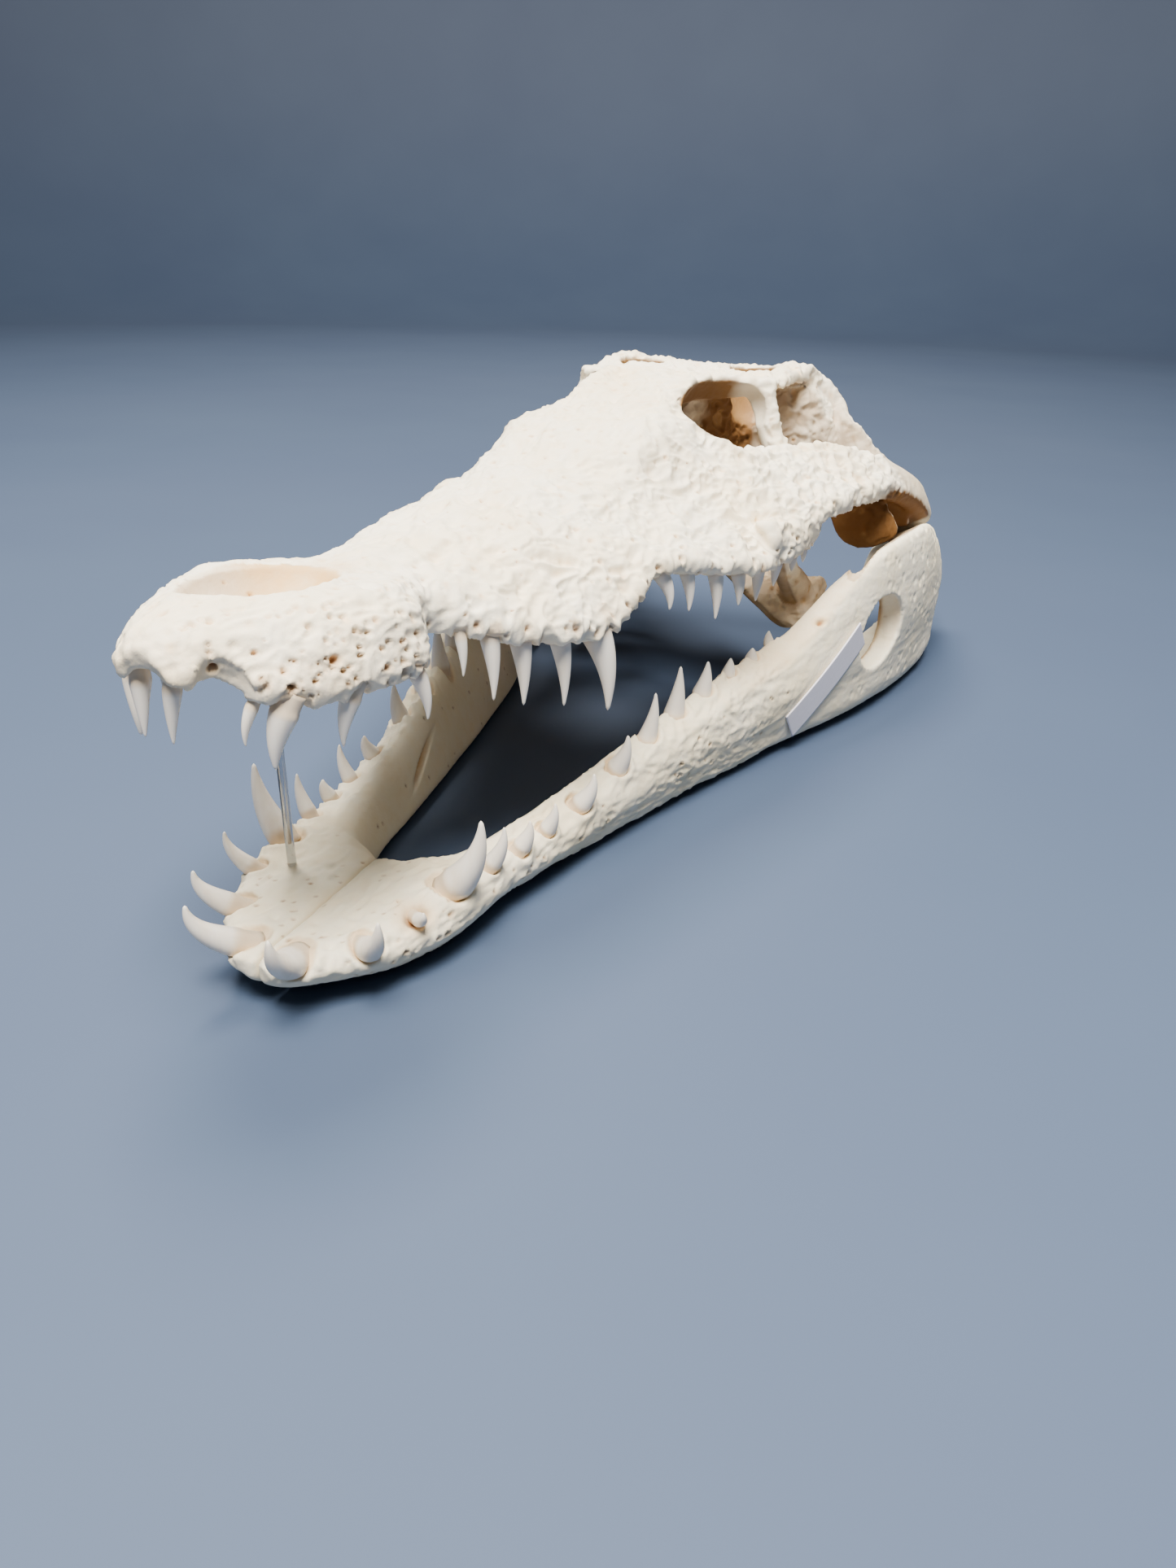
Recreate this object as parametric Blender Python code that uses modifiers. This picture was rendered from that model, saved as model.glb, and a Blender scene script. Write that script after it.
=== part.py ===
# Crocodile skull: cranium propped open over its lower jaw, faceted solids, metres, +Z up, snout towards -Y.
import math

import bmesh
import bpy
from mathutils import Vector

# ---- driving dimensions -------------------------------------------------------------------------
UNIT = 0.370                # m, one skull unit: the length that every table below is written in
FLOOR_CENTRE_Y = 0.586      # skull units from the front datum of the lower jaw to the footprint's middle
GAP = 0.0003                # m, clear space left between neighbouring solids
HINGE = (1.075, 0.1772)     # jaw joint of the open skull, (y, z) over the floor, skull units
CONDYLE = (1.100, 0.010)    # the same joint in the cranium's own frame, skull units
GAPE = math.radians(4.49)   # upward tilt of the palate
SHIFT = -0.0035             # sideways seat of the cranium on its joints, skull units
VOXEL = 0.0034              # skull units, cell of the remesh that joins the bones
CRANIUM_TRIS = 2900
JAW_TRIS = 1300
TOOTH_SIDES = 6

# Cranium sections from the snout tip back:
# y, half width, margin z, flank x, z, shoulder x, z, top z, palate z
SNOUT = (
    (0.002, 0.018, 0.007, 0.014, 0.020, 0.008, 0.026, 0.028, 0.018),
    (0.014, 0.034, 0.003, 0.028, 0.022, 0.018, 0.034, 0.038, 0.014),
    (0.041, 0.057, -0.002, 0.050, 0.021, 0.038, 0.036, 0.048, 0.012),
    (0.062, 0.069, -0.009, 0.062, 0.026, 0.048, 0.039, 0.051, 0.011),
    (0.095, 0.083, -0.007, 0.075, 0.031, 0.057, 0.045, 0.051, 0.011),
    (0.125, 0.089, -0.006, 0.080, 0.035, 0.061, 0.047, 0.050, 0.011),
    (0.152, 0.086, -0.004, 0.077, 0.035, 0.058, 0.046, 0.047, 0.011),
    (0.176, 0.072, 0.001, 0.066, 0.034, 0.050, 0.044, 0.046, 0.012),
    (0.195, 0.060, 0.005, 0.056, 0.031, 0.045, 0.041, 0.047, 0.012),
    (0.213, 0.065, 0.003, 0.058, 0.030, 0.042, 0.040, 0.048, 0.012),
    (0.236, 0.080, -0.001, 0.066, 0.030, 0.042, 0.041, 0.050, 0.012),
    (0.275, 0.101, -0.011, 0.079, 0.028, 0.050, 0.044, 0.055, 0.012),
    (0.315, 0.117, -0.015, 0.088, 0.029, 0.056, 0.052, 0.062, 0.012),
    (0.352, 0.129, -0.018, 0.095, 0.034, 0.058, 0.058, 0.069, 0.013),
    (0.382, 0.132, -0.004, 0.099, 0.041, 0.060, 0.061, 0.074, 0.015),
    (0.412, 0.135, 0.012, 0.102, 0.046, 0.060, 0.069, 0.080, 0.018),
    (0.446, 0.142, 0.020, 0.105, 0.048, 0.061, 0.076, 0.087, 0.021),
    (0.484, 0.155, 0.016, 0.110, 0.053, 0.063, 0.083, 0.097, 0.020),
    (0.521, 0.168, 0.012, 0.108, 0.064, 0.064, 0.104, 0.113, 0.020),
    (0.558, 0.180, 0.009, 0.105, 0.076, 0.068, 0.120, 0.127, 0.020),
    (0.596, 0.189, 0.008, 0.118, 0.077, 0.074, 0.127, 0.136, 0.022),
    (0.633, 0.195, 0.010, 0.133, 0.076, 0.079, 0.130, 0.145, 0.026),
    (0.668, 0.198, 0.022, 0.147, 0.082, 0.083, 0.139, 0.151, 0.034),
)
# Skull roof behind the snout: y, half width, under z, edge z, top z
ROOF = (
    (0.600, 0.060, 0.105, 0.130, 0.136),
    (0.650, 0.060, 0.124, 0.151, 0.150),
    (0.700, 0.058, 0.140, 0.168, 0.161),
    (0.750, 0.062, 0.146, 0.172, 0.168),
    (0.782, 0.098, 0.150, 0.170, 0.172),
    (0.808, 0.116, 0.152, 0.172, 0.176),
    (0.860, 0.116, 0.155, 0.180, 0.180),
    (0.905, 0.119, 0.156, 0.186, 0.181),
    (0.940, 0.121, 0.157, 0.188, 0.180),
    (0.958, 0.112, 0.158, 0.184, 0.179),
    (0.968, 0.080, 0.160, 0.176, 0.176),
)
# Braincase: y, half width, under z, half width where it meets the roof, top z
BRAINCASE = (
    (0.770, 0.020, 0.040, 0.030, 0.160),
    (0.830, 0.036, 0.020, 0.050, 0.165),
    (0.900, 0.046, -0.005, 0.066, 0.170),
    (0.950, 0.044, -0.020, 0.090, 0.166),
    (0.970, 0.030, -0.004, 0.070, 0.150),
)
# Cheek wall of the left side: y, upper x, upper z, lower x, lower z, thickness
CHEEK = (
    (0.612, 0.100, 0.088, 0.176, 0.026, 0.014),
    (0.656, 0.104, 0.104, 0.190, 0.033, 0.016),
    (0.700, 0.110, 0.103, 0.201, 0.041, 0.018),
    (0.745, 0.120, 0.099, 0.208, 0.049, 0.019),
    (0.790, 0.134, 0.101, 0.215, 0.053, 0.019),
    (0.840, 0.152, 0.102, 0.224, 0.057, 0.019),
    (0.890, 0.176, 0.098, 0.232, 0.057, 0.020),
    (0.940, 0.200, 0.088, 0.240, 0.050, 0.021),
    (0.990, 0.221, 0.076, 0.248, 0.038, 0.022),
    (1.040, 0.236, 0.060, 0.255, 0.020, 0.022),
    (1.086, 0.240, 0.040, 0.256, 0.004, 0.022),
)
# Bars of the left side: (x, y, z, half thickness across, half height) along each bar
MAXILLA_REAR = (
    (0.176, 0.590, 0.030, 0.014, 0.020),
    (0.184, 0.650, 0.030, 0.013, 0.019),
    (0.187, 0.700, 0.034, 0.012, 0.018),
    (0.192, 0.735, 0.044, 0.010, 0.014),
)
POSTORBITAL = (
    (0.098, 0.802, 0.166, 0.016, 0.018),
    (0.109, 0.798, 0.135, 0.014, 0.013),
    (0.123, 0.797, 0.104, 0.014, 0.013),
    (0.152, 0.794, 0.084, 0.014, 0.015),
)
QUADRATE_CREST = (
    (0.108, 0.935, 0.172, 0.014, 0.018),
    (0.124, 0.968, 0.158, 0.011, 0.018),
    (0.140, 0.976, 0.136, 0.012, 0.020),
    (0.168, 0.955, 0.108, 0.012, 0.020),
    (0.200, 0.962, 0.078, 0.012, 0.020),
    (0.226, 0.995, 0.058, 0.013, 0.020),
    (0.240, 1.050, 0.036, 0.014, 0.020),
)
ECTOPTERYGOID = (
    (0.178, 0.640, 0.036, 0.014, 0.012),
    (0.166, 0.700, 0.022, 0.013, 0.012),
    (0.160, 0.752, -0.012, 0.012, 0.013),
    (0.162, 0.806, -0.048, 0.013, 0.016),
    (0.166, 0.850, -0.066, 0.013, 0.018),
)
QUADRATE_FLANGE = (
    (0.150, 0.935, 0.078, 0.008, 0.020),
    (0.168, 0.936, 0.058, 0.008, 0.025),
    (0.186, 0.938, 0.036, 0.008, 0.028),
    (0.204, 0.941, 0.014, 0.008, 0.031),
    (0.220, 0.945, 0.018, 0.007, 0.030),
    (0.234, 0.951, 0.028, 0.006, 0.024),
)
PALATINE = (
    (0.000, 0.420, 0.034, 0.046, 0.020),
    (0.000, 0.520, 0.030, 0.036, 0.015),
    (0.000, 0.640, 0.030, 0.033, 0.014),
    (0.000, 0.760, 0.030, 0.036, 0.015),
    (0.000, 0.850, 0.024, 0.044, 0.018),
)
# Wing plates across the left side: x, front y, rear y, under z, top z
QUADRATE = (
    (0.030, 0.880, 0.960, 0.060, 0.166),
    (0.080, 0.890, 0.980, 0.070, 0.168),
    (0.125, 0.912, 1.010, 0.056, 0.156),
    (0.170, 0.950, 1.070, 0.016, 0.092),
    (0.210, 0.985, 1.092, 0.006, 0.066),
    (0.244, 1.020, 1.092, 0.006, 0.046),
)
PTERYGOID = (
    (0.000, 0.790, 0.925, 0.006, 0.034),
    (0.040, 0.785, 0.925, -0.012, 0.012),
    (0.085, 0.785, 0.920, -0.044, -0.022),
    (0.125, 0.790, 0.915, -0.076, -0.050),
    (0.158, 0.800, 0.905, -0.098, -0.052),
    (0.181, 0.828, 0.885, -0.080, -0.046),
)
CONDYLE_CENTRE = (0.213, 1.082, 0.006)
CONDYLE_RADII = (0.046, 0.020, 0.017)
OCCIPITAL = ((0.000, 0.978, 0.052), (0.020, 0.024, 0.018), 0.0)
# Openings of the cranium: centre, radii, lean about the fore-and-aft axis in degrees
NARIS = ((-0.0095, 0.1130, 0.064), (0.0425, 0.0625, 0.044), 0.0)
JAW_NOTCH = ((0.047, 0.0175, -0.003), (0.027, 0.0175, 0.040), 0.0)
ORBIT = ((0.087, 0.722, 0.138), (0.040, 0.078, 0.050), -52.0)
SOCKET_FLOOR = ((0.086, 0.705, 0.070), (0.036, 0.056, 0.068), 0.0)
PALATE_HOLE = ((0.094, 0.640, 0.016), (0.042, 0.125, 0.046), 0.0)
TEMPLE = ((0.068, 0.868, 0.172), (0.026, 0.036, 0.060), 0.0)
SPINAL_HOLE = ((0.000, 0.975, 0.087), (0.019, 0.040, 0.015), 0.0)
BARS = (
    ("maxilla_rear", MAXILLA_REAR),
    ("postorbital", POSTORBITAL),
    ("crest", QUADRATE_CREST),
    ("ectopterygoid", ECTOPTERYGOID),
    ("flange", QUADRATE_FLANGE),
)
PAIRED_OPENINGS = (
    ("notch", JAW_NOTCH),
    ("orbit", ORBIT),
    ("palate_hole", PALATE_HOLE),
    ("socket_floor", SOCKET_FLOOR),
    ("temple", TEMPLE),
)
# Lower jaw sections from the front back:
# y, inner x low and high, outer x low and high, under z, outer top z, inner top z
JAW = (
    (0.032, 0.000, 0.000, 0.009, 0.018, 0.026, 0.041, 0.042),
    (0.044, 0.000, 0.000, 0.016, 0.036, 0.017, 0.044, 0.045),
    (0.062, 0.000, 0.000, 0.024, 0.052, 0.010, 0.045, 0.046),
    (0.080, 0.000, 0.000, 0.031, 0.066, 0.005, 0.046, 0.047),
    (0.100, 0.000, 0.000, 0.045, 0.077, 0.001, 0.049, 0.048),
    (0.125, 0.000, 0.000, 0.057, 0.087, -0.002, 0.053, 0.049),
    (0.150, 0.000, 0.000, 0.066, 0.093, -0.003, 0.057, 0.051),
    (0.172, 0.000, 0.000, 0.070, 0.095, -0.002, 0.057, 0.052),
    (0.189, 0.002, 0.006, 0.072, 0.096, 0.000, 0.055, 0.053),
    (0.200, 0.022, 0.032, 0.074, 0.096, 0.002, 0.053, 0.054),
    (0.218, 0.036, 0.049, 0.077, 0.097, 0.004, 0.051, 0.056),
    (0.260, 0.050, 0.063, 0.086, 0.105, 0.005, 0.050, 0.060),
    (0.305, 0.058, 0.074, 0.097, 0.112, 0.005, 0.053, 0.064),
    (0.350, 0.067, 0.086, 0.110, 0.122, 0.005, 0.059, 0.072),
    (0.420, 0.083, 0.103, 0.129, 0.140, 0.004, 0.074, 0.086),
    (0.500, 0.100, 0.122, 0.152, 0.165, 0.004, 0.089, 0.099),
    (0.570, 0.117, 0.137, 0.176, 0.188, 0.004, 0.099, 0.108),
    (0.640, 0.135, 0.154, 0.199, 0.212, 0.004, 0.112, 0.117),
    (0.690, 0.151, 0.170, 0.219, 0.230, 0.004, 0.140, 0.126),
    (0.740, 0.170, 0.188, 0.239, 0.248, 0.004, 0.172, 0.142),
    (0.800, 0.190, 0.204, 0.257, 0.267, 0.003, 0.194, 0.151),
    (0.870, 0.202, 0.214, 0.271, 0.280, 0.000, 0.199, 0.148),
    (0.930, 0.202, 0.214, 0.279, 0.287, -0.003, 0.197, 0.140),
    (0.985, 0.198, 0.204, 0.285, 0.289, -0.001, 0.188, 0.140),
    (1.030, 0.204, 0.182, 0.285, 0.289, 0.002, 0.172, 0.146),
    (1.080, 0.208, 0.178, 0.279, 0.284, 0.014, 0.160, 0.150),
    (1.120, 0.214, 0.192, 0.268, 0.273, 0.040, 0.152, 0.148),
    (1.155, 0.222, 0.210, 0.256, 0.261, 0.074, 0.152, 0.148),
    (1.178, 0.230, 0.222, 0.246, 0.248, 0.108, 0.146, 0.142),
)
JAW_WINDOW = ((0.262, 0.795, 0.102), (0.062, 0.050, 0.043), 0.0)
JAW_SLOT = ((0.231, 0.860, 0.165), (0.015, 0.110, 0.100), 0.0)
JOINT_ROOM = 0.0035         # clear space round each condyle, skull units
# Hollow of the lower jaw, open on its inner side: reach outwards x, y, middle z, half height
JAW_HOLLOW = (
    (0.205, 0.735, 0.085, 0.012),
    (0.225, 0.770, 0.084, 0.040),
    (0.240, 0.820, 0.080, 0.048),
    (0.254, 0.900, 0.076, 0.048),
    (0.260, 0.960, 0.072, 0.044),
    (0.260, 1.010, 0.066, 0.038),
    (0.254, 1.060, 0.060, 0.032),
    (0.244, 1.095, 0.054, 0.024),
    (0.232, 1.116, 0.052, 0.010),
)
HOLLOW_INNER = 0.120        # inner reach of that hollow, clear of the jaw's inner side
# Outlines of a hollow and of a cheek wall, as shares of half width and half height
HOLLOW_OUTLINE = (
    (1.0, 0.6), (0.85, 1.0), (-0.85, 1.0), (-1.0, 0.6),
    (-1.0, -0.6), (-0.85, -1.0), (0.85, -1.0), (1.0, -0.6),
)
WALL_OUTLINE = (
    (-1.0, 0.0), (-0.86, 1.0), (0.0, 1.25), (0.86, 1.0),
    (1.0, 0.0), (0.86, -1.0), (-0.86, -1.0),
)
# Teeth: base x, y, z, then reach of the tip dx, dy, dz, then base width
UPPER_TEETH = (
    (0.0104, 0.0135, 0.006, -0.002, -0.001, -0.0345, 0.0117),
    (0.0450, 0.0400, -0.004, -0.004, -0.005, -0.0257, 0.0084),
    (0.0578, 0.0520, -0.009, -0.005, -0.006, -0.0362, 0.0184),
    (0.0745, 0.0930, -0.007, -0.004, -0.005, -0.0327, 0.0138),
    (0.0820, 0.1480, -0.004, 0.008, 0.004, -0.0324, 0.0126),
    (0.0700, 0.2240, 0.002, 0.003, 0.001, -0.0302, 0.0092),
    (0.0800, 0.2480, -0.003, 0.005, 0.001, -0.0471, 0.0153),
    (0.0905, 0.2760, -0.009, 0.005, 0.001, -0.0503, 0.0176),
    (0.1045, 0.3130, -0.013, 0.007, 0.002, -0.0540, 0.0175),
    (0.1175, 0.3520, -0.016, 0.014, 0.005, -0.0623, 0.0253),
    (0.1300, 0.4460, 0.022, 0.013, 0.005, -0.0327, 0.0153),
    (0.1430, 0.4830, 0.019, 0.006, 0.002, -0.0364, 0.0143),
    (0.1575, 0.5210, 0.014, 0.005, 0.001, -0.0438, 0.0155),
    (0.1680, 0.5575, 0.010, 0.004, 0.001, -0.0318, 0.0144),
    (0.1770, 0.5950, 0.009, 0.001, 0.000, -0.0323, 0.0140),
    (0.1850, 0.6325, 0.011, -0.001, 0.000, -0.0251, 0.0120),
    (0.1900, 0.6695, 0.014, 0.001, 0.000, -0.0179, 0.0099),
    (0.1920, 0.7047, 0.018, 0.001, 0.000, -0.0175, 0.0084),
)
LOWER_TEETH = (
    (0.022, 0.048, 0.043, 0.018, -0.032, 0.0400, 0.0220),
    (0.056, 0.082, 0.043, 0.024, -0.018, 0.0350, 0.0190),
    (0.072, 0.122, 0.049, 0.020, -0.009, 0.0321, 0.0150),
    (0.079, 0.162, 0.058, 0.023, 0.001, 0.0572, 0.0250),
    (0.086, 0.205, 0.054, 0.012, 0.002, 0.0345, 0.0148),
    (0.092, 0.242, 0.051, 0.006, -0.001, 0.0230, 0.0150),
    (0.097, 0.278, 0.051, 0.009, 0.000, 0.0275, 0.0145),
    (0.104, 0.324, 0.055, 0.010, -0.001, 0.0290, 0.0170),
    (0.112, 0.383, 0.066, 0.012, 0.001, 0.0360, 0.0190),
    (0.121, 0.434, 0.077, 0.007, 0.002, 0.0479, 0.0185),
    (0.130, 0.481, 0.087, 0.004, 0.001, 0.0499, 0.0205),
    (0.141, 0.525, 0.094, 0.005, 0.001, 0.0362, 0.0190),
    (0.153, 0.570, 0.100, 0.002, 0.000, 0.0214, 0.0148),
    (0.164, 0.612, 0.105, 0.001, -0.001, 0.0165, 0.0135),
    (0.171, 0.655, 0.110, -0.002, -0.001, 0.0181, 0.0121),
)
TOOTH_ROOT = 0.010          # how far each tooth is set into its bone
TOOTH_WAIST = 0.76          # width at a tooth's middle over its base width
TOOTH_OUT = 0.70            # share of the sideways reach that a tooth has made by its middle
TOOTH_UP = 0.36             # share of its upright reach made by then
FIRST_RIGHT_OUT = 0.0048    # how much further out the first upper tooth stands on the right
TIP_SHARE = 0.12            # tip width over base width

ROD_RADIUS = 0.0034
ROD_SIDES = 12
ROD_FOOT = (-0.0470, 0.1330, 0.0370)
ROD_HEAD = (-0.0490, 0.1330, 0.2640)
LABEL_CENTRE = (0.2271, 0.6889, 0.0733)
LABEL_ALONG = (0.287, 0.766, 0.574)
LABEL_ACROSS = (0.135, 0.560, -0.816)
LABEL_SIZE = (0.141, 0.036)
LABEL_THICKNESS = 0.0006    # m
SEAT_DEPTH = 0.020          # how far out of the bone the label's seat is cleared


def clear_scene():
    for obj in list(bpy.data.objects):
        bpy.data.objects.remove(obj, do_unlink=True)


def make_collection(name):
    group = bpy.data.collections.new(name)
    bpy.context.scene.collection.children.link(group)
    return group


def make_material(name, colour, roughness, metallic=0.0):
    mat = bpy.data.materials.new(name)
    mat.use_nodes = True
    shader = mat.node_tree.nodes["Principled BSDF"]
    shader.inputs["Base Color"].default_value = (*colour, 1.0)
    shader.inputs["Roughness"].default_value = roughness
    shader.inputs["Metallic"].default_value = metallic
    return mat


def floor_frame(point):
    """Skull units on the floor to metres about the middle of the footprint."""
    return Vector((point[0] * UNIT, (point[1] - FLOOR_CENTRE_Y) * UNIT, point[2] * UNIT))


def cranium_frame(point):
    """Skull units in the cranium's own frame, opened about the jaw joint."""
    y = point[1] - CONDYLE[0]
    z = point[2] - CONDYLE[1]
    c = math.cos(GAPE)
    s = math.sin(GAPE)
    return floor_frame((point[0] + SHIFT, HINGE[0] + y * c + z * s, HINGE[1] - y * s + z * c))


def skin(name, rings, frame, group):
    """Closed solid lofted through rings of equal point count."""
    bm = bmesh.new()
    loops = [[bm.verts.new(frame(p)) for p in ring] for ring in rings]
    count = len(loops[0])
    for a, b in zip(loops, loops[1:]):
        for i in range(count):
            j = (i + 1) % count
            bm.faces.new((a[i], a[j], b[j], b[i]))
    bm.faces.new(loops[0][::-1])
    bm.faces.new(loops[-1])
    bmesh.ops.recalc_face_normals(bm, faces=bm.faces)
    bmesh.ops.triangulate(bm, faces=bm.faces)
    mesh = bpy.data.meshes.new(name)
    bm.to_mesh(mesh)
    bm.free()
    obj = bpy.data.objects.new(name, mesh)
    group.objects.link(obj)
    return obj


def mirrored(half):
    """Full ring from the left half, which runs from the lower to the upper midline point."""
    return half + [(-x, y, z) for x, y, z in reversed(half[1:-1])]


def snout_ring(row):
    y, width, margin, flank_x, flank_z, shoulder_x, shoulder_z, top, palate = row
    lip = margin + 0.012
    half = [
        (0.0, y, palate),
        (width * 0.45, y, palate),
        (width * 0.72, y, 0.4 * palate + 0.6 * margin),
        (width * 0.88, y, margin),
        (width - 0.003, y, margin + 0.002),
        (width, y, lip),
        (0.5 * (width + flank_x), y, 0.5 * (lip + flank_z) + 0.001),
        (flank_x, y, flank_z),
        (0.5 * (flank_x + shoulder_x), y, 0.5 * (flank_z + shoulder_z)),
        (shoulder_x, y, shoulder_z),
        (shoulder_x * 0.5, y, 0.35 * shoulder_z + 0.65 * top),
        (0.0, y, top),
    ]
    return mirrored(half)


def roof_ring(row):
    y, width, under, edge, top = row
    half = [
        (0.0, y, under),
        (width * 0.6, y, under),
        (width * 0.95, y, 0.5 * under + 0.5 * edge),
        (width, y, edge - 0.004),
        (width * 0.9, y, edge),
        (width * 0.5, y, 0.3 * edge + 0.7 * top),
        (0.0, y, top),
    ]
    return mirrored(half)


def braincase_ring(row):
    y, width, under, join, top = row
    half = [
        (0.0, y, under),
        (width * 0.7, y, under + 0.006),
        (width, y, under + 0.3 * (top - under)),
        (0.5 * (width + join), y, under + 0.7 * (top - under)),
        (join, y, top),
        (0.0, y, top),
    ]
    return mirrored(half)


def bar_rings(rows, side, sides=10):
    """Elliptical rings along a bar, flat to the bar's run seen from above."""
    points = [Vector((side * x, y, z)) for x, y, z, a, b in rows]
    rings = []
    for i, row in enumerate(rows):
        run = points[min(i + 1, len(rows) - 1)] - points[max(i - 1, 0)]
        run.normalize()
        across = run.cross(Vector((0.0, 0.0, 1.0)))
        if across.length < 0.3:
            across = Vector((1.0, 0.0, 0.0))
        across.normalize()
        rise = across.cross(run)
        ring = []
        for k in range(sides):
            turn = 2.0 * math.pi * k / sides
            p = points[i] + across * (row[3] * math.cos(turn)) + rise * (row[4] * math.sin(turn))
            ring.append(tuple(p))
        rings.append(ring)
    return rings


def wing_rings(rows, side):
    """Rounded plate sections that run out sideways from the midline."""
    rings = []
    for x, front, rear, under, top in rows:
        mid = 0.5 * (under + top)
        bevel = 0.12 * (rear - front)
        rings.append([
            (side * x, front, mid),
            (side * x, front + bevel, under),
            (side * x, rear - bevel, under),
            (side * x, rear, mid),
            (side * x, rear - bevel, top),
            (side * x, front + bevel, top),
        ])
    return rings


def flip(point, side):
    return (side * point[0], point[1], point[2])


def plate_rings(rows, side):
    """Leaning wall sections between an upper and a lower edge."""
    rings = []
    for y, top_x, top_z, low_x, low_z, thick in rows:
        run = Vector((low_x - top_x, 0.0, low_z - top_z))
        half = run.length * 0.5
        run.normalize()
        out = Vector((-run.z, 0.0, run.x)) * (0.5 * thick)
        mid = Vector((0.5 * (top_x + low_x), y, 0.5 * (top_z + low_z)))
        rings.append([flip(mid + run * (half * a) + out * b, side) for a, b in WALL_OUTLINE])
    return rings


def jaw_ring(row, side):
    y, inner_low, inner_high, outer_low, outer, under, top, inner_top = row
    flat = 0.5 * GAP / UNIT
    low = max(inner_low, flat)
    high = max(inner_high, flat)
    width = outer_low - low
    crest = outer - high
    height = top - under
    toe = 0.0 if low <= flat else 0.06
    tuck = 0.0 if low <= flat else 0.34
    fall = 0.03 if low <= flat else 0.14
    ring = [
        (low + toe * width, y, under + 0.02 * height),
        (outer_low - 0.35 * width, y, under),
        (outer_low, y, under + 0.08 * height),
        (0.5 * (outer_low + outer), y, under + 0.28 * height),
        (outer, y, under + 0.60 * height),
        (outer - 0.10 * crest, y, top - 0.10 * height),
        (outer - 0.28 * crest, y, top),
        (high + 0.30 * crest, y, 0.5 * (top + inner_top)),
        (high + tuck * crest, y, inner_top),
        (high + 0.3 * tuck * crest, y, inner_top - fall * height),
        (0.7 * high + 0.3 * low, y, under + 0.62 * (inner_top - under)),
        (low, y, under + 0.12 * (inner_top - under)),
    ]
    return [flip(p, side) for p in ring]


def hollow_ring(row, side):
    reach, y, middle, half = row
    mid = 0.5 * (reach + HOLLOW_INNER)
    wide = 0.5 * (reach - HOLLOW_INNER)
    return [(side * (mid + wide * a), y, middle + half * b) for a, b in HOLLOW_OUTLINE]


def opening(name, shape, side, frame, group, grow=0.0):
    """Ellipsoid from one of the shape rows, on the side asked for."""
    centre, radii, lean = shape
    turn = side * math.radians(lean)
    return ellipsoid(name, flip(centre, side), radii, frame, group, lean=turn, grow=grow)


def ellipsoid(name, centre, radii, frame, group, lean=0.0, grow=0.0, segments=24):
    """Ellipsoid in skull units, leaned about the fore-and-aft axis."""
    c = math.cos(lean)
    s = math.sin(lean)
    bm = bmesh.new()
    bmesh.ops.create_uvsphere(bm, u_segments=segments, v_segments=segments // 2, radius=1.0)
    for v in bm.verts:
        a, b, d = [(r + grow) * k for r, k in zip(radii, v.co)]
        v.co = frame((centre[0] + a * c - d * s, centre[1] + b, centre[2] + a * s + d * c))
    bmesh.ops.recalc_face_normals(bm, faces=bm.faces)
    bmesh.ops.triangulate(bm, faces=bm.faces)
    mesh = bpy.data.meshes.new(name)
    bm.to_mesh(mesh)
    bm.free()
    obj = bpy.data.objects.new(name, mesh)
    group.objects.link(obj)
    return obj


def post(name, foot, head, radius, group, sides):
    """Straight round bar between two floor-frame points."""
    a = floor_frame(foot)
    b = floor_frame(head)
    bm = bmesh.new()
    length = (b - a).length
    bmesh.ops.create_cone(bm, cap_ends=True, segments=sides, radius1=radius, radius2=radius, depth=length)
    turn = (b - a).to_track_quat("Z", "Y")
    for v in bm.verts:
        v.co = turn @ v.co + (a + b) * 0.5
    bmesh.ops.triangulate(bm, faces=bm.faces)
    mesh = bpy.data.meshes.new(name)
    bm.to_mesh(mesh)
    bm.free()
    obj = bpy.data.objects.new(name, mesh)
    group.objects.link(obj)
    return obj


def sheet(name, size, thickness, lift, group):
    """Thin rectangular plate on the outer side of the left jaw, its inner face at the given lift."""
    along = Vector(LABEL_ALONG).normalized()
    across = Vector(LABEL_ACROSS).normalized()
    out = across.cross(along)
    centre = floor_frame(LABEL_CENTRE) + out * (lift + 0.5 * thickness)
    bm = bmesh.new()
    bmesh.ops.create_cube(bm, size=1.0)
    for v in bm.verts:
        flat = across * (v.co.x * size[1]) + along * (v.co.y * size[0])
        v.co = centre + flat + out * (v.co.z * thickness)
    bmesh.ops.triangulate(bm, faces=bm.faces)
    mesh = bpy.data.meshes.new(name)
    bm.to_mesh(mesh)
    bm.free()
    obj = bpy.data.objects.new(name, mesh)
    group.objects.link(obj)
    return obj


def horn(name, row, side, frame, group):
    """Tapered, slightly bowed tooth: a bevelled curve with its ends closed."""
    base = Vector(row[0:3])
    reach = Vector(row[3:6])
    root = base - reach.normalized() * TOOTH_ROOT
    tip = base + reach
    middle = base + Vector((reach.x * TOOTH_OUT, reach.y * TOOTH_OUT, reach.z * TOOTH_UP))
    curve = bpy.data.curves.new(name, "CURVE")
    curve.dimensions = "3D"
    curve.bevel_depth = 0.5 * row[6] * UNIT
    curve.bevel_resolution = TOOTH_SIDES // 2 - 2
    curve.use_fill_caps = True
    line = curve.splines.new("POLY")
    steps = ((root, 1.0), (middle, TOOTH_WAIST), (tip, TIP_SHARE))
    line.points.add(len(steps) - 1)
    for point, (p, size) in zip(line.points, steps):
        point.co = (*frame((side * p[0], p[1], p[2])), 1.0)
        point.radius = size
    obj = bpy.data.objects.new(name, curve)
    group.objects.link(obj)
    return to_mesh(obj, group)


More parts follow.
